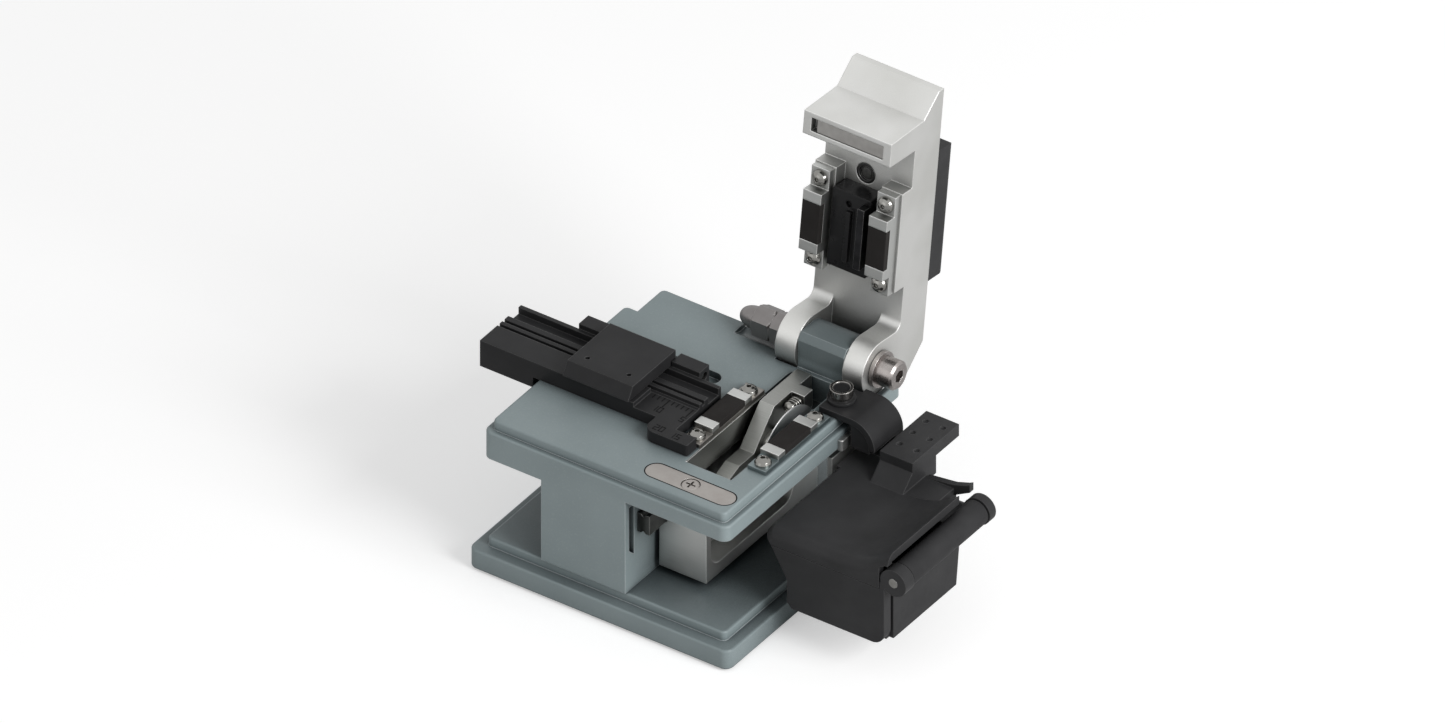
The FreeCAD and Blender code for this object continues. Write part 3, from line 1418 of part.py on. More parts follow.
node("bin_cover", bin_cover)

# Strap that carries the bin, with its screws, and the small catch on the deck's flank

bin_bracket = new_body("bin_bracket")
inner_round = "strap_round - strap_thick"
pad(bin_bracket, "XZ", outline(
    ("strap_left", "deck_top"),
    ("strap_bend_x", "deck_top", inner_round, -1),
    ("strap_inner", "strap_bend_z"),
    ("strap_inner", "strap_low"),
    ("strap_right", "strap_low"),
    ("strap_right", "strap_bend_z", "strap_round", 1),
    ("strap_bend_x", "strap_top"),
    ("strap_left", "strap_top")), "front + strap_front", "front + strap_back")
pad(bin_bracket, "XZ", outline(
    ("strap_block_left", "strap_block_low"),
    ("strap_inner", "strap_block_low"),
    ("strap_inner", "strap_bend_z", inner_round, 1),
    ("strap_bend_x", "deck_top"),
    ("strap_block_left", "deck_top")), "front + strap_front + chute_gap", "front + strap_back")
pocket(bin_bracket, "YZ", oblong("front + strap_front", "front + strap_tail_front", "strap_low",
                                 "strap_wide_low"),
       "strap_inner", "strap_right")
pocket(bin_bracket, "XY", oblong("strap_left", "strap_notch_x", "front + strap_notch_y",
                                 "front + strap_back"),
       "deck_top", "strap_top")
pocket(bin_bracket, "XY", disc("thumb_x", "thumb_y", "thumb_shank + shaft_play"), "deck_top", "strap_top")
pocket(bin_bracket, "YZ", disc(*strap_screw_spot, "strap_screw_radius + screw_play"), "strap_inner",
       "strap_right")
node("bin_bracket", bin_bracket)
node("strap_screw", screw("strap_screw", "+X", ("strap_right",) + strap_screw_spot, "strap_screw_radius",
                          "strap_screw_length", "strap_screw_head", "strap_screw_rise", "strap_screw_radius"))

thumb_screw = new_body("thumb_screw")
turn(thumb_screw, "+Z", ("thumb_x", "thumb_y", "strap_top + shaft_play"), [
    ("-thumb_reach", "0"),
    ("-thumb_reach", "thumb_shank"),
    ("0", "thumb_shank"),
    ("0", "thumb_flange"),
    ("thumb_flange_rise", "thumb_flange"),
    ("thumb_flange_rise", "thumb_radius*0.9"),
    ("thumb_rise*0.45", "thumb_radius"),
    ("thumb_rise", "thumb_radius"),
    ("thumb_rise", "thumb_radius*0.75"),
    ("thumb_rise - 0.25", "thumb_radius*0.7"),
    ("thumb_rise - 0.25", "0"),
])
node("thumb_screw", thumb_screw)
pocket(body_frame, "XY", disc("thumb_x", "thumb_y", "thumb_shank + shaft_play"),
       "strap_top - thumb_reach - fit_gap", "deck_top")

deck_catch = new_body("deck_catch")
pad(deck_catch, "YZ", oblong("front + catch_front", "front + catch_front + catch_long", "catch_low",
                             "catch_low + catch_tall"), "deck_half_width", "deck_half_width + catch_thick")
fillet(deck_catch, "soft_edge", along("z", ("deck_half_width + catch_thick", "front + catch_front")))
node("deck_catch", deck_catch)

for x, y in base_spots:
    pocket(body_frame, "XY", disc(x, y, "base_screw_radius + shaft_play"),
           "base_top", screw_seat + " + base_screw_length + fit_gap")
node("body_frame", body_frame)

# Check every object, then write one file for each sub-part

doc.recompute()
for item in doc.Objects:
    if {"Invalid", "Error"} & set(item.State):
        raise RuntimeError("%s is in state %s" % (item.Label, item.State))
for item in NODES:
    if item.Shape.isNull() or not item.Shape.isValid() or not item.Shape.Solids:
        raise RuntimeError("%s has no valid solid" % item.Label)
    item.Shape.exportStep("parts/%s.step" % item.Label)
    print("%-20s %2d solids %9.2f mm3" % (item.Label, len(item.Shape.Solids), item.Shape.Volume))
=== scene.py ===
# %% [markdown]
# # A fibre cleaver, lit and finished
# The cleaver scores and breaks an optical fibre. Its solids come packed from CAD with their real
# sizes and joints. This notebook adds a camera, light, finishes, and the fine marks that no solid carries.
# Every length is in metres, and a value named in millimetres is divided by 1000 where it is used.

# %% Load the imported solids
import bpy
import numpy as np
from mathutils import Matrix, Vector


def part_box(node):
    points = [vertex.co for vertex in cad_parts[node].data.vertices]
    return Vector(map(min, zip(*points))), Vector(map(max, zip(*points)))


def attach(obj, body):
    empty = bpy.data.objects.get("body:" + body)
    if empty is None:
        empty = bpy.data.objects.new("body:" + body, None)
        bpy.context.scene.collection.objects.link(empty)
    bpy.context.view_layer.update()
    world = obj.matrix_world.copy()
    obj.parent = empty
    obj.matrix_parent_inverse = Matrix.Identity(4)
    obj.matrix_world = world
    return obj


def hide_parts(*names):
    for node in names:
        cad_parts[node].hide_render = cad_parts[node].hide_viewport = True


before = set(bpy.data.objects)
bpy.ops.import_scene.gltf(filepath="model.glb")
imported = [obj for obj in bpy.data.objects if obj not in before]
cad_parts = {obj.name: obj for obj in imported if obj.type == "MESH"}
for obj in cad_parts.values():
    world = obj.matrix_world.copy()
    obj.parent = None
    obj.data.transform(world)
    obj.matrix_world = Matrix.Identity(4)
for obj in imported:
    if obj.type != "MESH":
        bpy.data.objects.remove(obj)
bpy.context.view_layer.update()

# %% [markdown]
# ## Camera
# The photograph shows parallel edges as parallel lines, so it was taken from far away or without
# perspective. An orthographic camera does that: its scale is the width of the view in metres. Its
# direction was solved from known edges of the base and of the deck.

# %% Camera
VIEW_ACROSS = 0.2510
VIEW_CENTRE = Vector((0.0150, -0.0124, 0.0521))
VIEW_BACK = Vector((0.4579, -0.6635, 0.5917)).normalized()
CAMERA_AWAY = 0.6
FARTHEST_SEEN = 5.0

camera_data = bpy.data.cameras.new("camera")
camera_data.type = "ORTHO"
camera_data.ortho_scale = VIEW_ACROSS
camera_data.clip_end = FARTHEST_SEEN
camera = bpy.data.objects.new("camera", camera_data)
bpy.context.scene.collection.objects.link(camera)
camera.location = VIEW_CENTRE + VIEW_BACK * CAMERA_AWAY
camera.rotation_euler = VIEW_BACK.to_track_quat("Z", "Y").to_euler()
bpy.context.scene.camera = camera
print("view is", round(VIEW_ACROSS * 1000, 1), "mm across")

# %% [markdown]
# ## Helpers for finishes
# A finish is a tree of nodes. One small function adds a node, sets its properties and fills its
# sockets. A socket takes a number, a colour, an output of another node, or a node itself, which then
# gives its first output.

# %% Node helper and colour
def add(tree, kind, inputs=None, **settings):
    """Adds one shader node to a tree. Settings are the node's own properties. Inputs fills its sockets
    by name or number with a value, with another node's output, or with a node's first output."""
    node = tree.nodes.new("ShaderNode" + kind)
    for name, value in settings.items():
        setattr(node, name, value)
    for name, value in (inputs or {}).items():
        source = value.outputs[0] if isinstance(value, bpy.types.Node) else value
        if isinstance(source, bpy.types.NodeSocket):
            tree.links.new(source, node.inputs[name])
        else:
            node.inputs[name].default_value = source
    return node


def srgb(text):
    """Linear colour of an sRGB hex value: c/12.92 below 0.04045, ((c + 0.055)/1.055)^2.4 above."""
    code = np.array([int(text[i:i + 2], 16) for i in (1, 3, 5)]) / 255.0
    line = np.where(code <= 0.04045, code / 12.92, ((code + 0.055) / 1.055) ** 2.4)
    return (*line.tolist(), 1.0)


def finish(name):
    """An empty material and its tree."""
    material = bpy.data.materials.new(name)
    material.use_nodes = True
    material.node_tree.nodes.clear()
    return material, material.node_tree


print("mid grey is", [round(c, 3) for c in srgb("#808080")])

# %% [markdown]
# ## Floor
# The photograph has a plain white ground. The floor is a large pale sheet. It is lifted to white for
# camera rays alone, so it throws no extra light on the object and still keeps the soft shadow. It lies
# a hair under the feet, so the two never share a plane.

# %% Floor
FLOOR_SIZE = 3.0
FLOOR_DROP = 0.0002
FLOOR_LIFT = 0.42
floor_mesh = bpy.data.meshes.new("floor")
floor_corners = np.array([(-1, -1, 0), (1, -1, 0), (1, 1, 0), (-1, 1, 0)]) * FLOOR_SIZE
floor_mesh.from_pydata((floor_corners - (0, 0, FLOOR_DROP)).tolist(), [], [(0, 1, 2, 3)])
floor = bpy.data.objects.new("floor", floor_mesh)
bpy.context.scene.collection.objects.link(floor)

paper, tree = finish("matt_white_paper_sweep")
ground = add(tree, "BsdfDiffuse", {"Color": srgb("#e6e6e6")})
dark = add(tree, "Emission", {"Strength": 0.0})
lift = add(tree, "Emission", {"Color": srgb("#ffffff"), "Strength": FLOOR_LIFT})
seen = add(tree, "MixShader", {0: add(tree, "LightPath").outputs["Is Camera Ray"], 1: dark, 2: lift})
add(tree, "OutputMaterial", {"Surface": add(tree, "AddShader", {0: ground, 1: seen})})
floor_mesh.materials.append(paper)
print("floor is", 2 * FLOOR_SIZE, "m wide")

# %% [markdown]
# ## Light
# The light is plain: a pale world, and one large soft lamp from the right, because right-hand faces
# are the brightest ones, the tops come next and the front faces last. The world is white where the
# camera or a mirror sees it, and weaker as a light, so that metals reflect white and still have shade.

# %% World and lamps
AMBIENT = 0.40
world = bpy.data.worlds.new("studio")
world.use_nodes = True
bpy.context.scene.world = world
tree = world.node_tree
tree.nodes.clear()
path = add(tree, "LightPath").outputs
direct = add(tree, "Math", {0: path["Is Camera Ray"], 1: path["Is Glossy Ray"]}, operation="MAXIMUM")
direct = add(tree, "Math", {0: direct, 1: path["Is Transmission Ray"]}, operation="MAXIMUM")
level = add(tree, "MapRange", {"Value": direct, "To Min": AMBIENT, "To Max": 1.0})
sky = add(tree, "Background", {"Color": srgb("#ffffff"), "Strength": level})
add(tree, "OutputWorld", {"Surface": sky})


def softbox(name, toward_lamp, distance, size, power):
    """A square area lamp at a distance from the view's centre, turned to face it."""
    lamp = bpy.data.lights.new(name, "AREA")
    lamp.shape = "SQUARE"
    lamp.size = size
    lamp.energy = power
    holder = bpy.data.objects.new(name, lamp)
    bpy.context.scene.collection.objects.link(holder)
    way = Vector(toward_lamp).normalized()
    holder.location = VIEW_CENTRE + way * distance
    holder.rotation_euler = way.to_track_quat("Z", "Y").to_euler()


softbox("key_from_the_right", (0.86, -0.06, 0.48), 0.9, 0.45, 6.6)
softbox("fill_from_the_front", (-0.25, -0.85, 0.45), 1.0, 0.7, 0.7)

# %% [markdown]
# ## Patterns that the finishes share
# Each pattern is worked out on Object coordinates, which are metres of the real object, so a grain of
# 0.2 mm is a noise of scale 1000/0.2. Edges are found with a Bevel node: near a corner its rounded
# normal leaves the true one, and the difference makes a mask. The same rounded normal also gives each
# edge the thin highlight that a real deburred edge has, and most finishes also lighten their tone along
# the mask: a painted highlight, and on the paint and the black skins real wear as well. Sheltered
# corners are found with an Ambient Occlusion node. The lamps alone leave them lighter than the
# photograph does, so the paint and the aluminium darken there: a painted shade. A pixel of this view is
# a quarter of a millimetre, and real scratches, pits and orange peel are often finer, so they are drawn
# as coarse as they need to show.

# %% Where a point is
def height(tree):
    """Height of a point above the ground, in metres."""
    return add(tree, "SeparateXYZ", {0: add(tree, "TexCoord").outputs["Object"]}).outputs[2]


def from_middle(tree, node, across=(1.0, 1.0, 1.0)):
    """Distance in metres from the middle of a solid's box: the length of (point - middle) * across.
    With across 0 along an axis and 1 beside it, it is the distance from that axis."""
    low, high = (np.array(corner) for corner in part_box(node))
    point = add(tree, "TexCoord").outputs["Object"]
    arm = add(tree, "VectorMath", {0: point, 1: ((low + high) / 2).tolist()}, operation="SUBTRACT")
    arm = add(tree, "VectorMath", {0: arm, 1: across}, operation="MULTIPLY")
    return add(tree, "VectorMath", {0: arm}, operation="LENGTH").outputs["Value"]


# %% Shared patterns
EDGE_COSINES = (0.72, 0.99)
SHELTERED = 0.10


def grain(tree, size_mm, detail=2.0, stretch=(1.0, 1.0, 1.0)):
    """Noise whose spots are about size_mm across, and longer along an axis with a stretch below 1."""
    spot = add(tree, "Mapping", {"Vector": add(tree, "TexCoord").outputs["Object"], "Scale": stretch})
    return add(tree, "TexNoise", {"Vector": spot, "Scale": 1000.0 / size_mm, "Detail": detail,
                                  "Roughness": 0.5})


def toward(tree, amount, first, second, start=0.0, stop=1.0, least=0.0, most=1.0):
    """Goes from one colour to another. The second's share is on a straight line from least to most as
    the amount goes from start to stop, and is held beyond them."""
    share = add(tree, "MapRange", {"Value": amount, "From Min": start, "From Max": stop,
                                   "To Min": least, "To Max": most})
    return add(tree, "Mix", {0: share, 6: first, 7: second}, data_type="RGBA").outputs[2]


def edges(tree, width_mm):
    """A normal rounded over width_mm, and a mask that goes from 0 to 1 as the cosine between the
    rounded and the true normal falls from the higher to the lower of EDGE_COSINES. Most finishes lighten
    their edges by this mask: a painted highlight, and on the paint and the black skins real wear as well."""
    rounded = add(tree, "Bevel", {"Radius": width_mm / 1000.0}, samples=6)
    true = add(tree, "NewGeometry").outputs["Normal"]
    cosine = add(tree, "VectorMath", {0: rounded, 1: true}, operation="DOT_PRODUCT").outputs["Value"]
    mask = add(tree, "MapRange", {"Value": cosine, "From Min": EDGE_COSINES[0],
                                  "From Max": EDGE_COSINES[1], "To Min": 1.0, "To Max": 0.0})
    return rounded, mask


def painted_shade(tree, reach_mm, tone, deep, amount, free=0.95):
    """Painted shade: the tone goes towards a darker one where other surfaces stand within reach, as in
    corners and round screws. Above the free share of open air it stays as it is."""
    open_air = add(tree, "AmbientOcclusion", {"Distance": reach_mm / 1000.0}, samples=6).outputs["AO"]
    return toward(tree, open_air, tone, deep, SHELTERED, free, amount, 0.0)


def skin(tree, tone, wear, smooth, dull, sockets=None, normal=None, bumps=None, depth_mm=0.0,
         ends=(0.3, 0.7)):
    """Ends a finish: its shader and its output. Roughness goes from smooth to dull as the wear pattern
    goes between its ends. Bumps, where given, stand depth_mm proud on the normal. Sockets holds the
    shader's other values by the names of their sockets."""
    rough = add(tree, "MapRange", {"Value": wear, "From Min": ends[0], "From Max": ends[1],
                                   "To Min": smooth, "To Max": dull})
    if bumps is not None:
        normal = add(tree, "Bump", {"Height": bumps, "Distance": depth_mm / 1000.0, "Strength": 1.0,
                                    "Normal": normal})
    given = {} if normal is None else {"Normal": normal}
    shader = add(tree, "BsdfPrincipled", {"Base Color": tone, "Roughness": rough, **given,
                                          **(sockets or {})})
    add(tree, "OutputMaterial", {"Surface": shader})


CLOUDS = (0.35, 0.65)
METAL = {"Metallic": 1.0}
print("patterns: grain, toward, edges, nook and skin")

# %% [markdown]
# ## Painted body
# The base and the body are machined aluminium with a baked grey-blue paint. Such paint is satin, a
# little uneven in depth of colour, and has a fine orange peel under 1 mm across. A layered noise does
# both, with no picture. Its edges are lighter, partly where the paint thins and partly as a painted
# highlight. Level faces and upright faces each have a painted shade in their corners, because a level
# one is sheltered from further away. The hinge lug stands above the deck inside the lid's fork, where
# the photograph shows it darker in the arm's shade, so the paint has a painted shade above the height
# LUG_FOOT.

# %% Satin grey-blue baked paint
LUG_FOOT = 0.0325
LUG_FADE = 0.001
paint, tree = finish("baked_satin_paint_on_aluminium")
rounded, edge_wear_and_highlight = edges(tree, 0.30)
tone = toward(tree, grain(tree, 14.0), srgb("#879395"), srgb("#8d999b"), *CLOUDS)
tone = toward(tree, grain(tree, 0.35, 1.0), tone, srgb("#98a3a5"), 0.58, 0.74, most=0.35)
upward = add(tree, "SeparateXYZ", {0: add(tree, "NewGeometry").outputs["Normal"]}).outputs[2]
# Painted shade in corners: level faces reach further for it than upright ones.
upright_face = painted_shade(tree, 14.0, tone, srgb("#30373a"), 1.0, 0.62)
level_face = painted_shade(tree, 26.0, tone, srgb("#22282b"), 1.0)
tone = toward(tree, upward, upright_face, level_face, 0.3, 0.9)
# Painted shade in the narrow inner corners of steps.
tone = painted_shade(tree, 1.2, tone, srgb("#3f474b"), 0.9, 0.85)
# Painted shade on the hinge lug, which stands in the arm's shade above LUG_FOOT.
tone = toward(tree, height(tree), tone, srgb("#3a4244"), LUG_FOOT, LUG_FOOT + LUG_FADE, most=0.42)
# Lighter edges: thinner paint, and a painted highlight.
tone = toward(tree, edge_wear_and_highlight, tone, srgb("#c6cfd0"), most=0.9)
skin(tree, tone, grain(tree, 1.6), 0.34, 0.44, {"IOR": 1.5, "Specular IOR Level": 0.35}, rounded,
     grain(tree, 0.7), 0.010)
print(paint.name, len(tree.nodes), "nodes")

# %% [markdown]
# ## Bare aluminium
# The lid is cast, bead blasted and clear anodised: a light metal with a very fine even grain and no
# direction. The blade carriage and the clamps are milled, so a cutter has left fine lines along X.
# A metal keeps the default IOR, and its colour is the tint of its reflections.

# %% Blasted and clear anodised aluminium
blasted, tree = finish("bead_blasted_clear_anodised_aluminium")
rounded, edge_wear_and_highlight = edges(tree, 0.3)
pits = grain(tree, 0.18)
tone = toward(tree, grain(tree, 12.0), srgb("#cfcfcc"), srgb("#dadad8"), *CLOUDS)
# Painted shade where other surfaces stand near.
tone = painted_shade(tree, 11.0, tone, srgb("#6b6c6b"), 0.95, 0.9)
# Painted highlight along the edges.
tone = toward(tree, edge_wear_and_highlight, tone, srgb("#f2f2f0"), most=0.8)
skin(tree, tone, pits, 0.42, 0.56, METAL, rounded, pits, 0.010)
print(blasted.name, len(tree.nodes), "nodes")

# %% Milled aluminium
CLAMP_FOOT = 0.03205
CLAMP_FADE = 0.00005


def cut(name, dark, light, line, smooth, dull, foot=None):
    """Milled aluminium: faint clouds, fine cutter lines along X, a painted shade in sheltered corners and a
    painted highlight on edges. A clamp's foot, below the height CLAMP_FOOT, may have a darker tint of its
    own, a painted shade."""
    material, tree = finish(name)
    lines = grain(tree, 0.14, 3.0, (0.04, 1.0, 1.0))
    rounded, edge_wear_and_highlight = edges(tree, 0.25)
    tone = toward(tree, grain(tree, 8.0), srgb(dark), srgb(light), *CLOUDS)
    tone = toward(tree, lines, tone, srgb(line), 0.35, 0.70, most=0.35)
    # Painted shade in corners, then a painted highlight on edges.
    tone = painted_shade(tree, 3.0, tone, srgb("#5c5c5a"), 0.9)
    tone = toward(tree, edge_wear_and_highlight, tone, srgb("#f4f4f2"), most=0.9)
    if foot:
        tone = toward(tree, height(tree), srgb(foot), tone, CLAMP_FOOT - CLAMP_FADE, CLAMP_FOOT + CLAMP_FADE)
    skin(tree, tone, lines, smooth, dull, METAL, rounded, lines, 0.002)
    print(name, len(tree.nodes), "nodes")
    return material


PALE_CUT = ("#b9bab8", "#c4c5c3", "#cfd0ce", 0.38, 0.44)
milled = cut("milled_clear_anodised_aluminium", *PALE_CUT)
# The clamps' feet get darker tints: a painted shade.
left_clamp = cut("milled_aluminium_with_shade_painted_foot", *PALE_CUT, "#8b8884")
right_clamp = cut("milled_aluminium_with_grey_shade_painted_foot", *PALE_CUT, "#7f898b")
# A darker copy of the milled aluminium for the bracket and the slot's wall under the deck: a painted shade.
shaded_metal = cut("milled_aluminium_darkened_as_painted_shade", "#8e8f8c", "#999a97", "#a3a4a1", 0.32, 0.38)

# %% [markdown]
# ## Steel pieces
# The screws are polished stainless steel, turned and tumbled, so they mirror the room with faint
# scratches. The hinge bolt is satin, the nuts are duller, and the rail is oiled and dark. Scratches
# run along Y, as drawn-out noise.

# %% Steels
def steel(name, dark, light, smooth, dull, scratch_mm, depth_mm=0.002):
    """Tumbled or turned steel: clouds between two tints, a painted highlight on edges, and roughness that
    follows fine scratches.
    """
    material, tree = finish(name)
    rounded, edge_wear_and_highlight = edges(tree, 0.12)
    marks = grain(tree, scratch_mm, 3.0, (1.0, 0.2, 1.0))
    tone = toward(tree, grain(tree, 2.0), srgb(dark), srgb(light), 0.3, 0.7)
    # Painted highlight along the edges.
    tone = toward(tree, edge_wear_and_highlight, tone, srgb("#f4f4f2"), most=0.4)
    skin(tree, tone, marks, smooth, dull, METAL, rounded, marks, depth_mm)
    print(name, len(tree.nodes), "nodes")
    return material


screw_steel = steel("turned_polished_stainless_steel", "#7f7e7b", "#94938f", 0.10, 0.20, 0.12)
bolt_steel = steel("turned_satin_stainless_steel", "#97918f", "#a8a3a0", 0.24, 0.34, 0.15)
nut_steel = steel("turned_dull_steel", "#7d7a79", "#858281", 0.36, 0.42, 0.40, 0.0003)
rail_steel = steel("oiled_dark_ground_steel", "#4e4f4e", "#5b5c5a", 0.28, 0.38, 0.25, 0.0008)
strike_steel = steel("ground_stainless_steel_plate", "#a09b97", "#a7a39f", 0.36, 0.44, 0.20)
anvil_steel = steel("blackened_tool_steel", "#2a2a2b", "#39393b", 0.34, 0.48, 0.20)
magnet_face = steel("ground_nickel_plated_magnet", "#a5a3a0", "#b4b2af", 0.34, 0.44, 0.25)

# %% [markdown]
# ## Blade
# The blade is a lapped carbide disc. Lapping leaves fine rings about its axis X, which a noise of the
# distance from that axis draws. A Bevel node wider than on the other steels gives its rim a light line.

# %% Lapped blade
RING_MM = 0.10
lapped, tree = finish("lapped_tungsten_carbide_blade")
rings = add(tree, "TexNoise", {"W": from_middle(tree, "blade", (0.0, 1.0, 1.0)), "Scale": 1000.0 / RING_MM,
                               "Detail": 2.0}, noise_dimensions="1D")
rounded, edge_wear_and_highlight = edges(tree, 0.35)
tone = toward(tree, rings, srgb("#c9cbcb"), srgb("#e2e3e3"))
skin(tree, tone, rings, 0.34, 0.46, METAL, rounded, rings, 0.003)
print(lapped.name, len(tree.nodes), "nodes")

# %% [markdown]
# ## Knob and button
# The knob of the thumb screw is plated and its foot is blackened. The dish in its top is given a dark
# tone, a painted reflection. The lid's button has a grey middle in a black ring. Masks of height and of
# distance from the middle part the two tones, because each is one solid.

# %% Knob with a blackened foot and a dish painted dark
KNOB_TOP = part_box("thumb_screw")[1][2]
knob_steel, tree = finish("polished_plated_steel_with_blackened_foot")
radius = from_middle(tree, "thumb_screw", (1.0, 1.0, 0.0))
foot = add(tree, "MapRange", {"Value": height(tree), "From Min": KNOB_TOP - 0.00190,
                              "From Max": KNOB_TOP - 0.00185, "To Min": 1.0, "To Max": 0.0})
inside = add(tree, "MapRange", {"Value": radius, "From Min": 0.00150, "From Max": 0.00156,
                                "To Min": 1.0, "To Max": 0.0})
near_top = add(tree, "MapRange", {"Value": height(tree), "From Min": KNOB_TOP - 0.0004,
                                  "From Max": KNOB_TOP - 0.0003})
dish = add(tree, "Math", {0: inside, 1: near_top}, operation="MULTIPLY")
blackened_foot_and_painted_dish = add(tree, "Math", {0: foot, 1: dish}, operation="MAXIMUM")
bare = add(tree, "Math", {0: 1.0, 1: blackened_foot_and_painted_dish}, operation="SUBTRACT")
scuffs = grain(tree, 0.3, 3.0, (1.0, 1.0, 0.2))
tone = toward(tree, scuffs, srgb("#8d8a88"), srgb("#a19e9b"))
# The foot is blackened, and the dish takes the same dark tone as a painted reflection.
tone = toward(tree, blackened_foot_and_painted_dish, tone, srgb("#2a2a2b"))
skin(tree, tone, scuffs, 0.14, 0.26, {"Metallic": bare, "Specular IOR Level": 0.2}, edges(tree, 0.25)[0])
print(knob_steel.name, len(tree.nodes), "nodes")

# %% Button with a ring
button, tree = finish("turned_black_button")
rounded, edge_wear_and_highlight = edges(tree, 0.2)
tone = toward(tree, from_middle(tree, "lid_button"), srgb("#626260"), srgb("#1e1e1e"), 0.00105, 0.00135)
tone = toward(tree, grain(tree, 0.4), tone, srgb("#3a3a39"))
# Painted highlight: the edges go lighter by the edge mask.
tone = toward(tree, edge_wear_and_highlight, tone, srgb("#707070"))
skin(tree, tone, grain(tree, 0.3), 0.28, 0.40, {"Metallic": 0.6}, rounded, ends=(0.0, 1.0))
print(button.name, len(tree.nodes), "nodes")

# %% [markdown]
# ## Brass washer
# Plain turned brass is a warm metal with a faint tarnish, so its tint and its roughness both follow
# the same tool marks.

# %% Brass
brass, tree = finish("turned_plain_brass")
marks = grain(tree, 0.12, 2.0, (1.0, 0.3, 0.3))
tone = toward(tree, marks, srgb("#a4873f"), srgb("#c6ab66"), 0.3, 0.7)
skin(tree, tone, marks, 0.22, 0.38, METAL, edges(tree, 0.1)[0], marks, 0.004)
print(brass.name, len(tree.nodes), "nodes")

# %% [markdown]
# ## Black pieces
# The fibre holder, its lid and the strap are black anodised aluminium: deep grey, satin, with a soft
# light line along each edge. The scrap bin and the housing behind the lid are moulded black plastic
# with a fine spark-eroded texture, which breaks up the sheen. The pads and the roller are rubber,
# the dullest of all. The marks on the ruler are filled with a matt black enamel.

# %% Black finishes
def black(name, dark, light, worn, smooth, dull, texture_mm, depth_mm, wear, reflects):
    """A black skin: a texture of given size and depth, and edges that are lighter, partly worn and partly a
    painted highlight.
    """
    material, tree = finish(name)
    rounded, edge_wear_and_highlight = edges(tree, 0.3)
    tone = toward(tree, grain(tree, 7.0, 3.0), srgb(dark), srgb(light), *CLOUDS)
    # Lighter edges: partly worn, partly a painted highlight.
    tone = toward(tree, edge_wear_and_highlight, tone, srgb(worn), most=wear)
    skin(tree, tone, grain(tree, 2.2, 3.0), smooth, dull, {"Specular IOR Level": reflects}, rounded,
         grain(tree, texture_mm), depth_mm)
    print(name, len(tree.nodes), "nodes")
    return material


anodised = black("black_anodised_aluminium", "#262627", "#2c2c2d", "#6e6e6e",
                 0.34, 0.44, 0.15, 0.004, 0.5, 0.14)
carrier_skin = black("deep_black_anodised_aluminium", "#1c1c1d", "#202021", "#363636",
                     0.26, 0.32, 0.40, 0.0005, 0.25, 0.25)
housing_skin = black("moulded_black_nylon", "#303031", "#363637", "#5c5c5c",
                     0.42, 0.52, 0.30, 0.010, 0.4, 0.12)
moulded = black("moulded_black_abs", "#303031", "#363637", "#6a6a6a",
                0.40, 0.50, 0.30, 0.010, 0.4, 0.14)
pad_rubber = black("moulded_black_nitrile_rubber", "#272524", "#2d2b2a", "#3a3837",
                   0.62, 0.78, 0.20, 0.012, 0.3, 0.10)
roller_skin = black("ground_black_roller_rubber", "#2c2c2d", "#333334", "#4c4c4d",
                    0.52, 0.66, 0.22, 0.010, 0.3, 0.14)

fill, tree = finish("black_enamel_fill")
skin(tree, toward(tree, grain(tree, 0.1, 1.0), srgb("#0c0c0c"), srgb("#161616")), grain(tree, 0.3, 1.0),
     0.5, 0.7, {"Specular IOR Level": 0.1}, ends=(0.0, 1.0))

# %% [markdown]
# ## Put the finishes on
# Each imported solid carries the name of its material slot. A table from slot to finish dresses them
# all, and a second one names the solids whose finish differs from the rest of their slot.

# %% Dress the solids
FINISHES = {
    "painted_body": paint,
    "satin_aluminium": blasted,
    "milled_aluminium": milled,
    "black_anodised": anodised,
    "black_plastic": moulded,
    "steel": screw_steel,
    "blade_steel": lapped,
    "brass": brass,
    "nut_steel": nut_steel,
    "strike_steel": strike_steel,
    "magnet": magnet_face,
    "rubber": pad_rubber,
    "roller_rubber": roller_skin,
    "anvil_steel": anvil_steel,
}
OWN_FINISH = {
    "hinge_bolt": bolt_steel,
    "hinge_washer": bolt_steel,
    "thumb_screw": knob_steel,
    "blade_bracket": shaded_metal,
    "rear_housing": housing_skin,
    "lid_button": button,
    "guide_rail": rail_steel,
    "rail_screws": rail_steel,
    "left_clamp_base": left_clamp,
    "right_clamp_base": right_clamp,
    "anvil_carrier": carrier_skin,
}
for name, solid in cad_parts.items():
    for holder in solid.material_slots:
        holder.material = OWN_FINISH.get(name, FINISHES[holder.material.name.split(".")[0]])
print("dressed", len(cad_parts), "solids, by", len(FINISHES), "slots and", len(OWN_FINISH), "names")

# %% [markdown]
# ## Small plates
# Two small plates close the gap between the scrap bin and the deck, and a thin bare wall lines the
# left side of the slot. All are upright boxes, so one function makes them from their corners. Their Y
# is counted from the front edge of the base, at ZERO_Y.

# %% Pieces from arrays, and boxes
ZERO_Y = -28.75


def make(name, points, faces, material):
    """One piece that rides on the base, from an array of points and a list of faces."""
    mesh = bpy.data.meshes.new(name)
    mesh.from_pydata(points.reshape(-1, 3).tolist(), [], faces)
    mesh.materials.append(material)
    piece = bpy.data.objects.new(name, mesh)
    bpy.context.scene.collection.objects.link(piece)
    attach(piece, "base")
    print(name, len(mesh.polygons), "faces")
    return piece


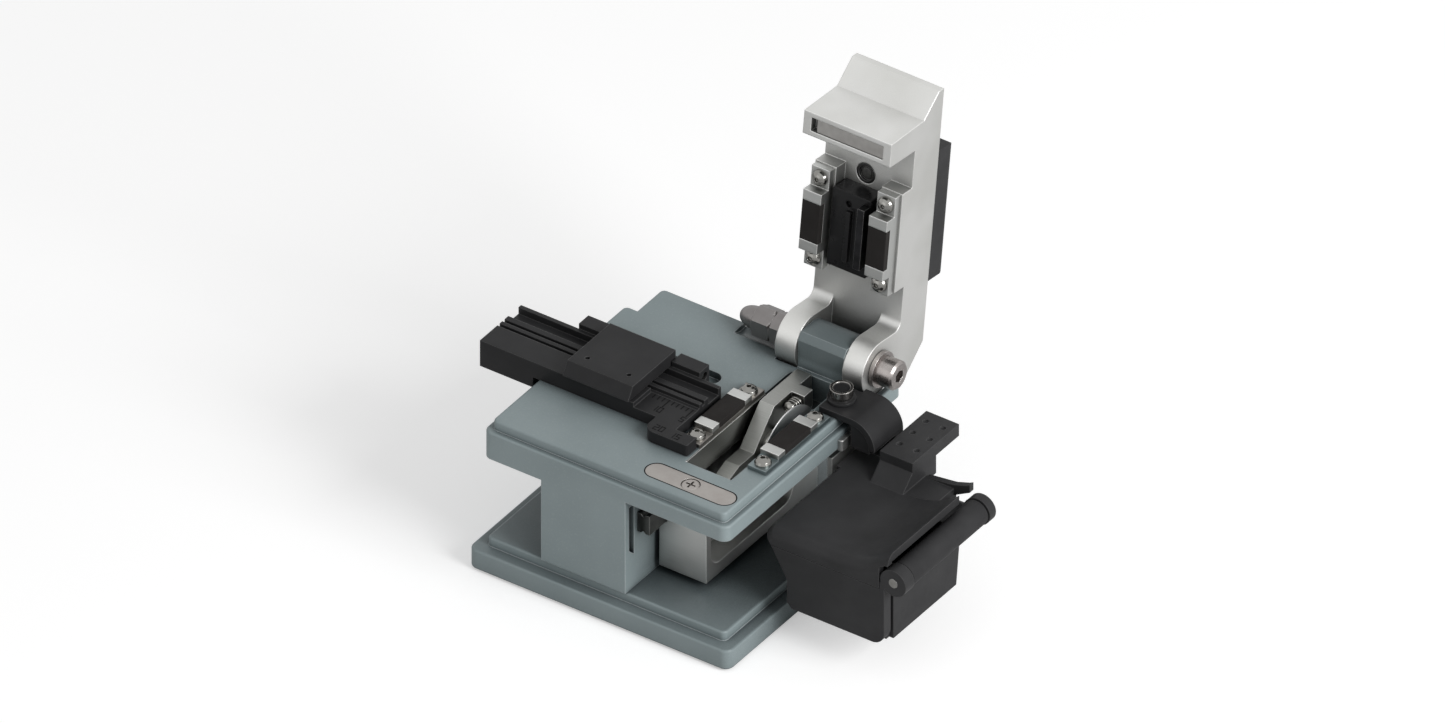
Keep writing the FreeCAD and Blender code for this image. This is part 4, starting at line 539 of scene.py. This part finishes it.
def blocks(name, spans, material):
    """One piece of upright boxes. Spans is n x 2 x 3, the low and the high corner of each box in
    millimetres, with Y from ZERO_Y. Corner (i, j, k) is low + (i, j, k) * (high - low), with i, j and k
    at 0 or 1."""
    low, high = np.moveaxis((np.asarray(spans, float) + (0.0, ZERO_Y, 0.0)) / 1000.0, 1, 0)
    which = np.array([(i, j, k) for i in (0, 1) for j in (0, 1) for k in (0, 1)])
    points = low[:, None] + which * (high - low)[:, None]
    sides = np.array([(0, 1, 3, 2), (4, 6, 7, 5), (0, 4, 5, 1), (2, 3, 7, 6), (0, 2, 6, 4), (1, 5, 7, 3)])
    faces = sides + 8 * np.arange(len(points))[:, None, None]
    make(name, points, faces.reshape(-1, 4).tolist(), material)


blocks("bin_foot", [[(24.6, 34.5, 19.0), (25.6, 43.0, 24.6)]], milled)
blocks("bin_back_plate", [[(25.2, 46.3, 15.5), (31.5, 46.9, 23.0)]], anodised)
blocks("window_liner", [[(10.0, 12.25, 25.95), (10.25, 36.4, 31.0)]], shaded_metal)

# %% [markdown]
# ## Nuts of the hinge
# A hexagon nut is turned before it is milled: a cone cuts its corners at both ends, so each flat ends
# in an arc. The CAD nuts are plain hexagons, which merge where they meet. These two take their place
# and every outer size from the nodes they stand for.

# %% Nuts of the hinge
CHAMFER_WIDE, CHAMFER_TALL, BORE = 0.00025, 0.00045, 0.00155
DOME_LONG, DOME_RADIUS, DOME_POWER, DOME_ROWS = 0.0037, 0.00215, 2.25, 24
TURN_DEGREES = 2.5


def nut(name, node, domed):
    """A nut on the hinge's axis X, with its length, centre and corner radius c from the CAD node's box:
    r(x, t) = min(R(x), c cos 30 / cos(t mod 60 - 30)), with t from +Z, where the CAD nut has a corner.
    R is the turned profile: c, less CHAMFER_TALL at both ends. A domed nut starts with
    R = DOME_RADIUS (1 - u^p)^(1/p), with u = 1 at the tip and p = DOME_POWER. A plain one has a bore."""
    low, high = (np.array(corner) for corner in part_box(node))
    centre, corner = (low + high) / 2, (high[2] - low[2]) / 2
    face, trimmed = low[0] + (DOME_LONG if domed else 0.0), corner - CHAMFER_TALL
    outside = [(face, trimmed), (face + CHAMFER_WIDE, corner), (high[0] - CHAMFER_WIDE, corner),
               (high[0], trimmed)]
    u = np.linspace(1.0, 0.0, DOME_ROWS)[1:, None]
    dome = np.hstack([low[0] + DOME_LONG * (1 - u), DOME_RADIUS * (1 - u ** DOME_POWER) ** (1 / DOME_POWER)])
    profile = np.vstack([dome, outside] if domed else [[(face, BORE)], outside, [(high[0], BORE)]])
    t = np.radians(np.arange(0.0, 360.0, TURN_DEGREES))
    flats = corner * np.cos(np.pi / 6) / np.cos(np.mod(t, np.pi / 3) - np.pi / 6)
    radius = np.minimum(profile[:, 1:], flats)
    points = np.stack([np.broadcast_to(profile[:, :1], radius.shape), centre[1] + radius * np.sin(t),
                       centre[2] + radius * np.cos(t)], axis=-1).reshape(-1, 3)
    count, around = radius.shape
    row, step = np.meshgrid(np.arange(count - 1 if domed else count), np.arange(around), indexing="ij")
    after, below = (step + 1) % around, (row + 1) % count
    faces = np.stack([row * around + step, below * around + step, below * around + after,
                      row * around + after], axis=-1).reshape(-1, 4).tolist()
    if domed:
        ring, beside, last = step[0], after[0], (count - 1) * around
        tip, end = np.full((2, around), [[len(points)], [len(points) + 1]])
        faces += np.stack([tip, ring, beside], axis=1).tolist()
        faces += np.stack([end, last + beside, last + ring], axis=1).tolist()
        points = np.vstack([points, (low[0], *centre[1:]), (high[0], *centre[1:])])
    piece = make(name, points, faces, nut_steel)
    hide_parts(node)


nut("acorn_nut_domed", "acorn_nut", True)
nut("hinge_nut_chamfered", "hinge_nut", False)

# %% [markdown]
# ## Seam around the strike plate
# The strike plate is let into the deck, and the fit around it shows in the photograph as a dark line.
# A flat ring of the width SEAM_WIDTH draws that line.

# %% Seam around the strike plate
SEAM_WIDTH, SEAM_RISE, SEAM_STEPS = 0.00022, 0.00001, 96
NUDGE = 1e-6


def seam(name, node, material):
    """A flat dark ring around an oblong plate. With the plate's half width r and the angle t, the
    outline is the end's centre plus (r + w) (cos t, sin t), for w = 0 and SEAM_WIDTH. The ring's
    section is a rectangle, so its four lines close around it. NUDGE keeps cos t off 0."""
    low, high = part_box(node)
    half = (high[1] - low[1]) / 2
    t = np.linspace(0.0, 2 * np.pi, SEAM_STEPS, endpoint=False) + NUDGE
    centre_x = np.where(np.cos(t) > 0, high[0] - half, low[0] + half)
    wide = np.array([0.0, SEAM_WIDTH, SEAM_WIDTH, 0.0])
    rise = np.array([-SEAM_RISE, -SEAM_RISE, SEAM_RISE, SEAM_RISE])
    reach = half + wide
    points = np.stack([centre_x[:, None] + reach * np.cos(t)[:, None],
                       low[1] + half + reach * np.sin(t)[:, None],
                       np.broadcast_to(high[2] + rise, (SEAM_STEPS, 4))], axis=-1)
    step, corner = np.meshgrid(np.arange(SEAM_STEPS), np.arange(4), indexing="ij")
    after, beside = (step + 1) % SEAM_STEPS, (corner + 1) % 4
    faces = np.stack([step * 4 + corner, after * 4 + corner, after * 4 + beside, step * 4 + beside], axis=-1)
    make(name, points, faces.reshape(-1, 4).tolist(), material)


seam("strike_plate_seam", "strike_plate", fill)

# %% [markdown]
# ## Ruler marks
# The ruler beside the fibre groove has filled marks: a short one each millimetre, a long one each
# fifth, and plain numerals. A numeral is drawn with the seven strokes of a counter.

# %% Ruler marks
RULER_TOP, RULER_EDGE = 33.4, 22.75
MARK_RISE, MARK_SINK, MARK_HALF = 0.03, 0.1, 0.11
FIRST_MARK, MARK_COUNT, LONG_MARK, SHORT_MARK = -3.5, 9, 2.4, 1.1
STROKE, NUMERAL_WIDE, NUMERAL_HIGH, NUMERAL_GAP = 0.16, 0.85, 1.5, 0.3
STROKES = {"0": "abcdef", "1": "bc", "5": "afgcd", "2": "abged"}
NUMERALS = (("10", -1.9, 18.7), ("5", 4.0, 18.6), ("20", 1.6, 14.2), ("15", 5.2, 13.9))


def mark(x0, x1, y0, y1):
    """A filled mark between two corners on the ruler, in millimetres."""
    return [(x0, y0, RULER_TOP - MARK_SINK), (x1, y1, RULER_TOP + MARK_RISE)]


def numeral(digit, x, y):
    """The strokes of one digit whose low left corner is at (x, y). Strokes a, g, d lie along X at the
    top, the middle and the foot. Strokes b, c are on the right and f, e on the left, upper and lower."""
    right, top, middle = x + NUMERAL_WIDE, y + NUMERAL_HIGH, y + NUMERAL_HIGH / 2
    places = {
        "a": (x, right, top - STROKE, top),
        "g": (x, right, middle - STROKE / 2, middle + STROKE / 2),
        "d": (x, right, y, y + STROKE),
        "b": (right - STROKE, right, middle, top),
        "c": (right - STROKE, right, y, middle),
        "f": (x, x + STROKE, middle, top),
        "e": (x, x + STROKE, y, middle),
    }
    return [mark(*places[stroke]) for stroke in STROKES[digit]]


spans = []
for i in range(MARK_COUNT):
    x = FIRST_MARK + i
    spans.append(mark(x - MARK_HALF, x + MARK_HALF, RULER_EDGE - (LONG_MARK if i % 5 == 3 else SHORT_MARK),
                      RULER_EDGE))
for digits, x, y in NUMERALS:
    for step, digit in enumerate(digits):
        spans += numeral(digit, x + step * (NUMERAL_WIDE + NUMERAL_GAP), y)
blocks("ruler_marks", spans, fill)

# %% [markdown]
# ## View transform
# The view transform is Standard, which shows colours as they were chosen.

# %% Set the view transform
bpy.context.scene.view_settings.view_transform = "Standard"
bpy.context.view_layer.update()
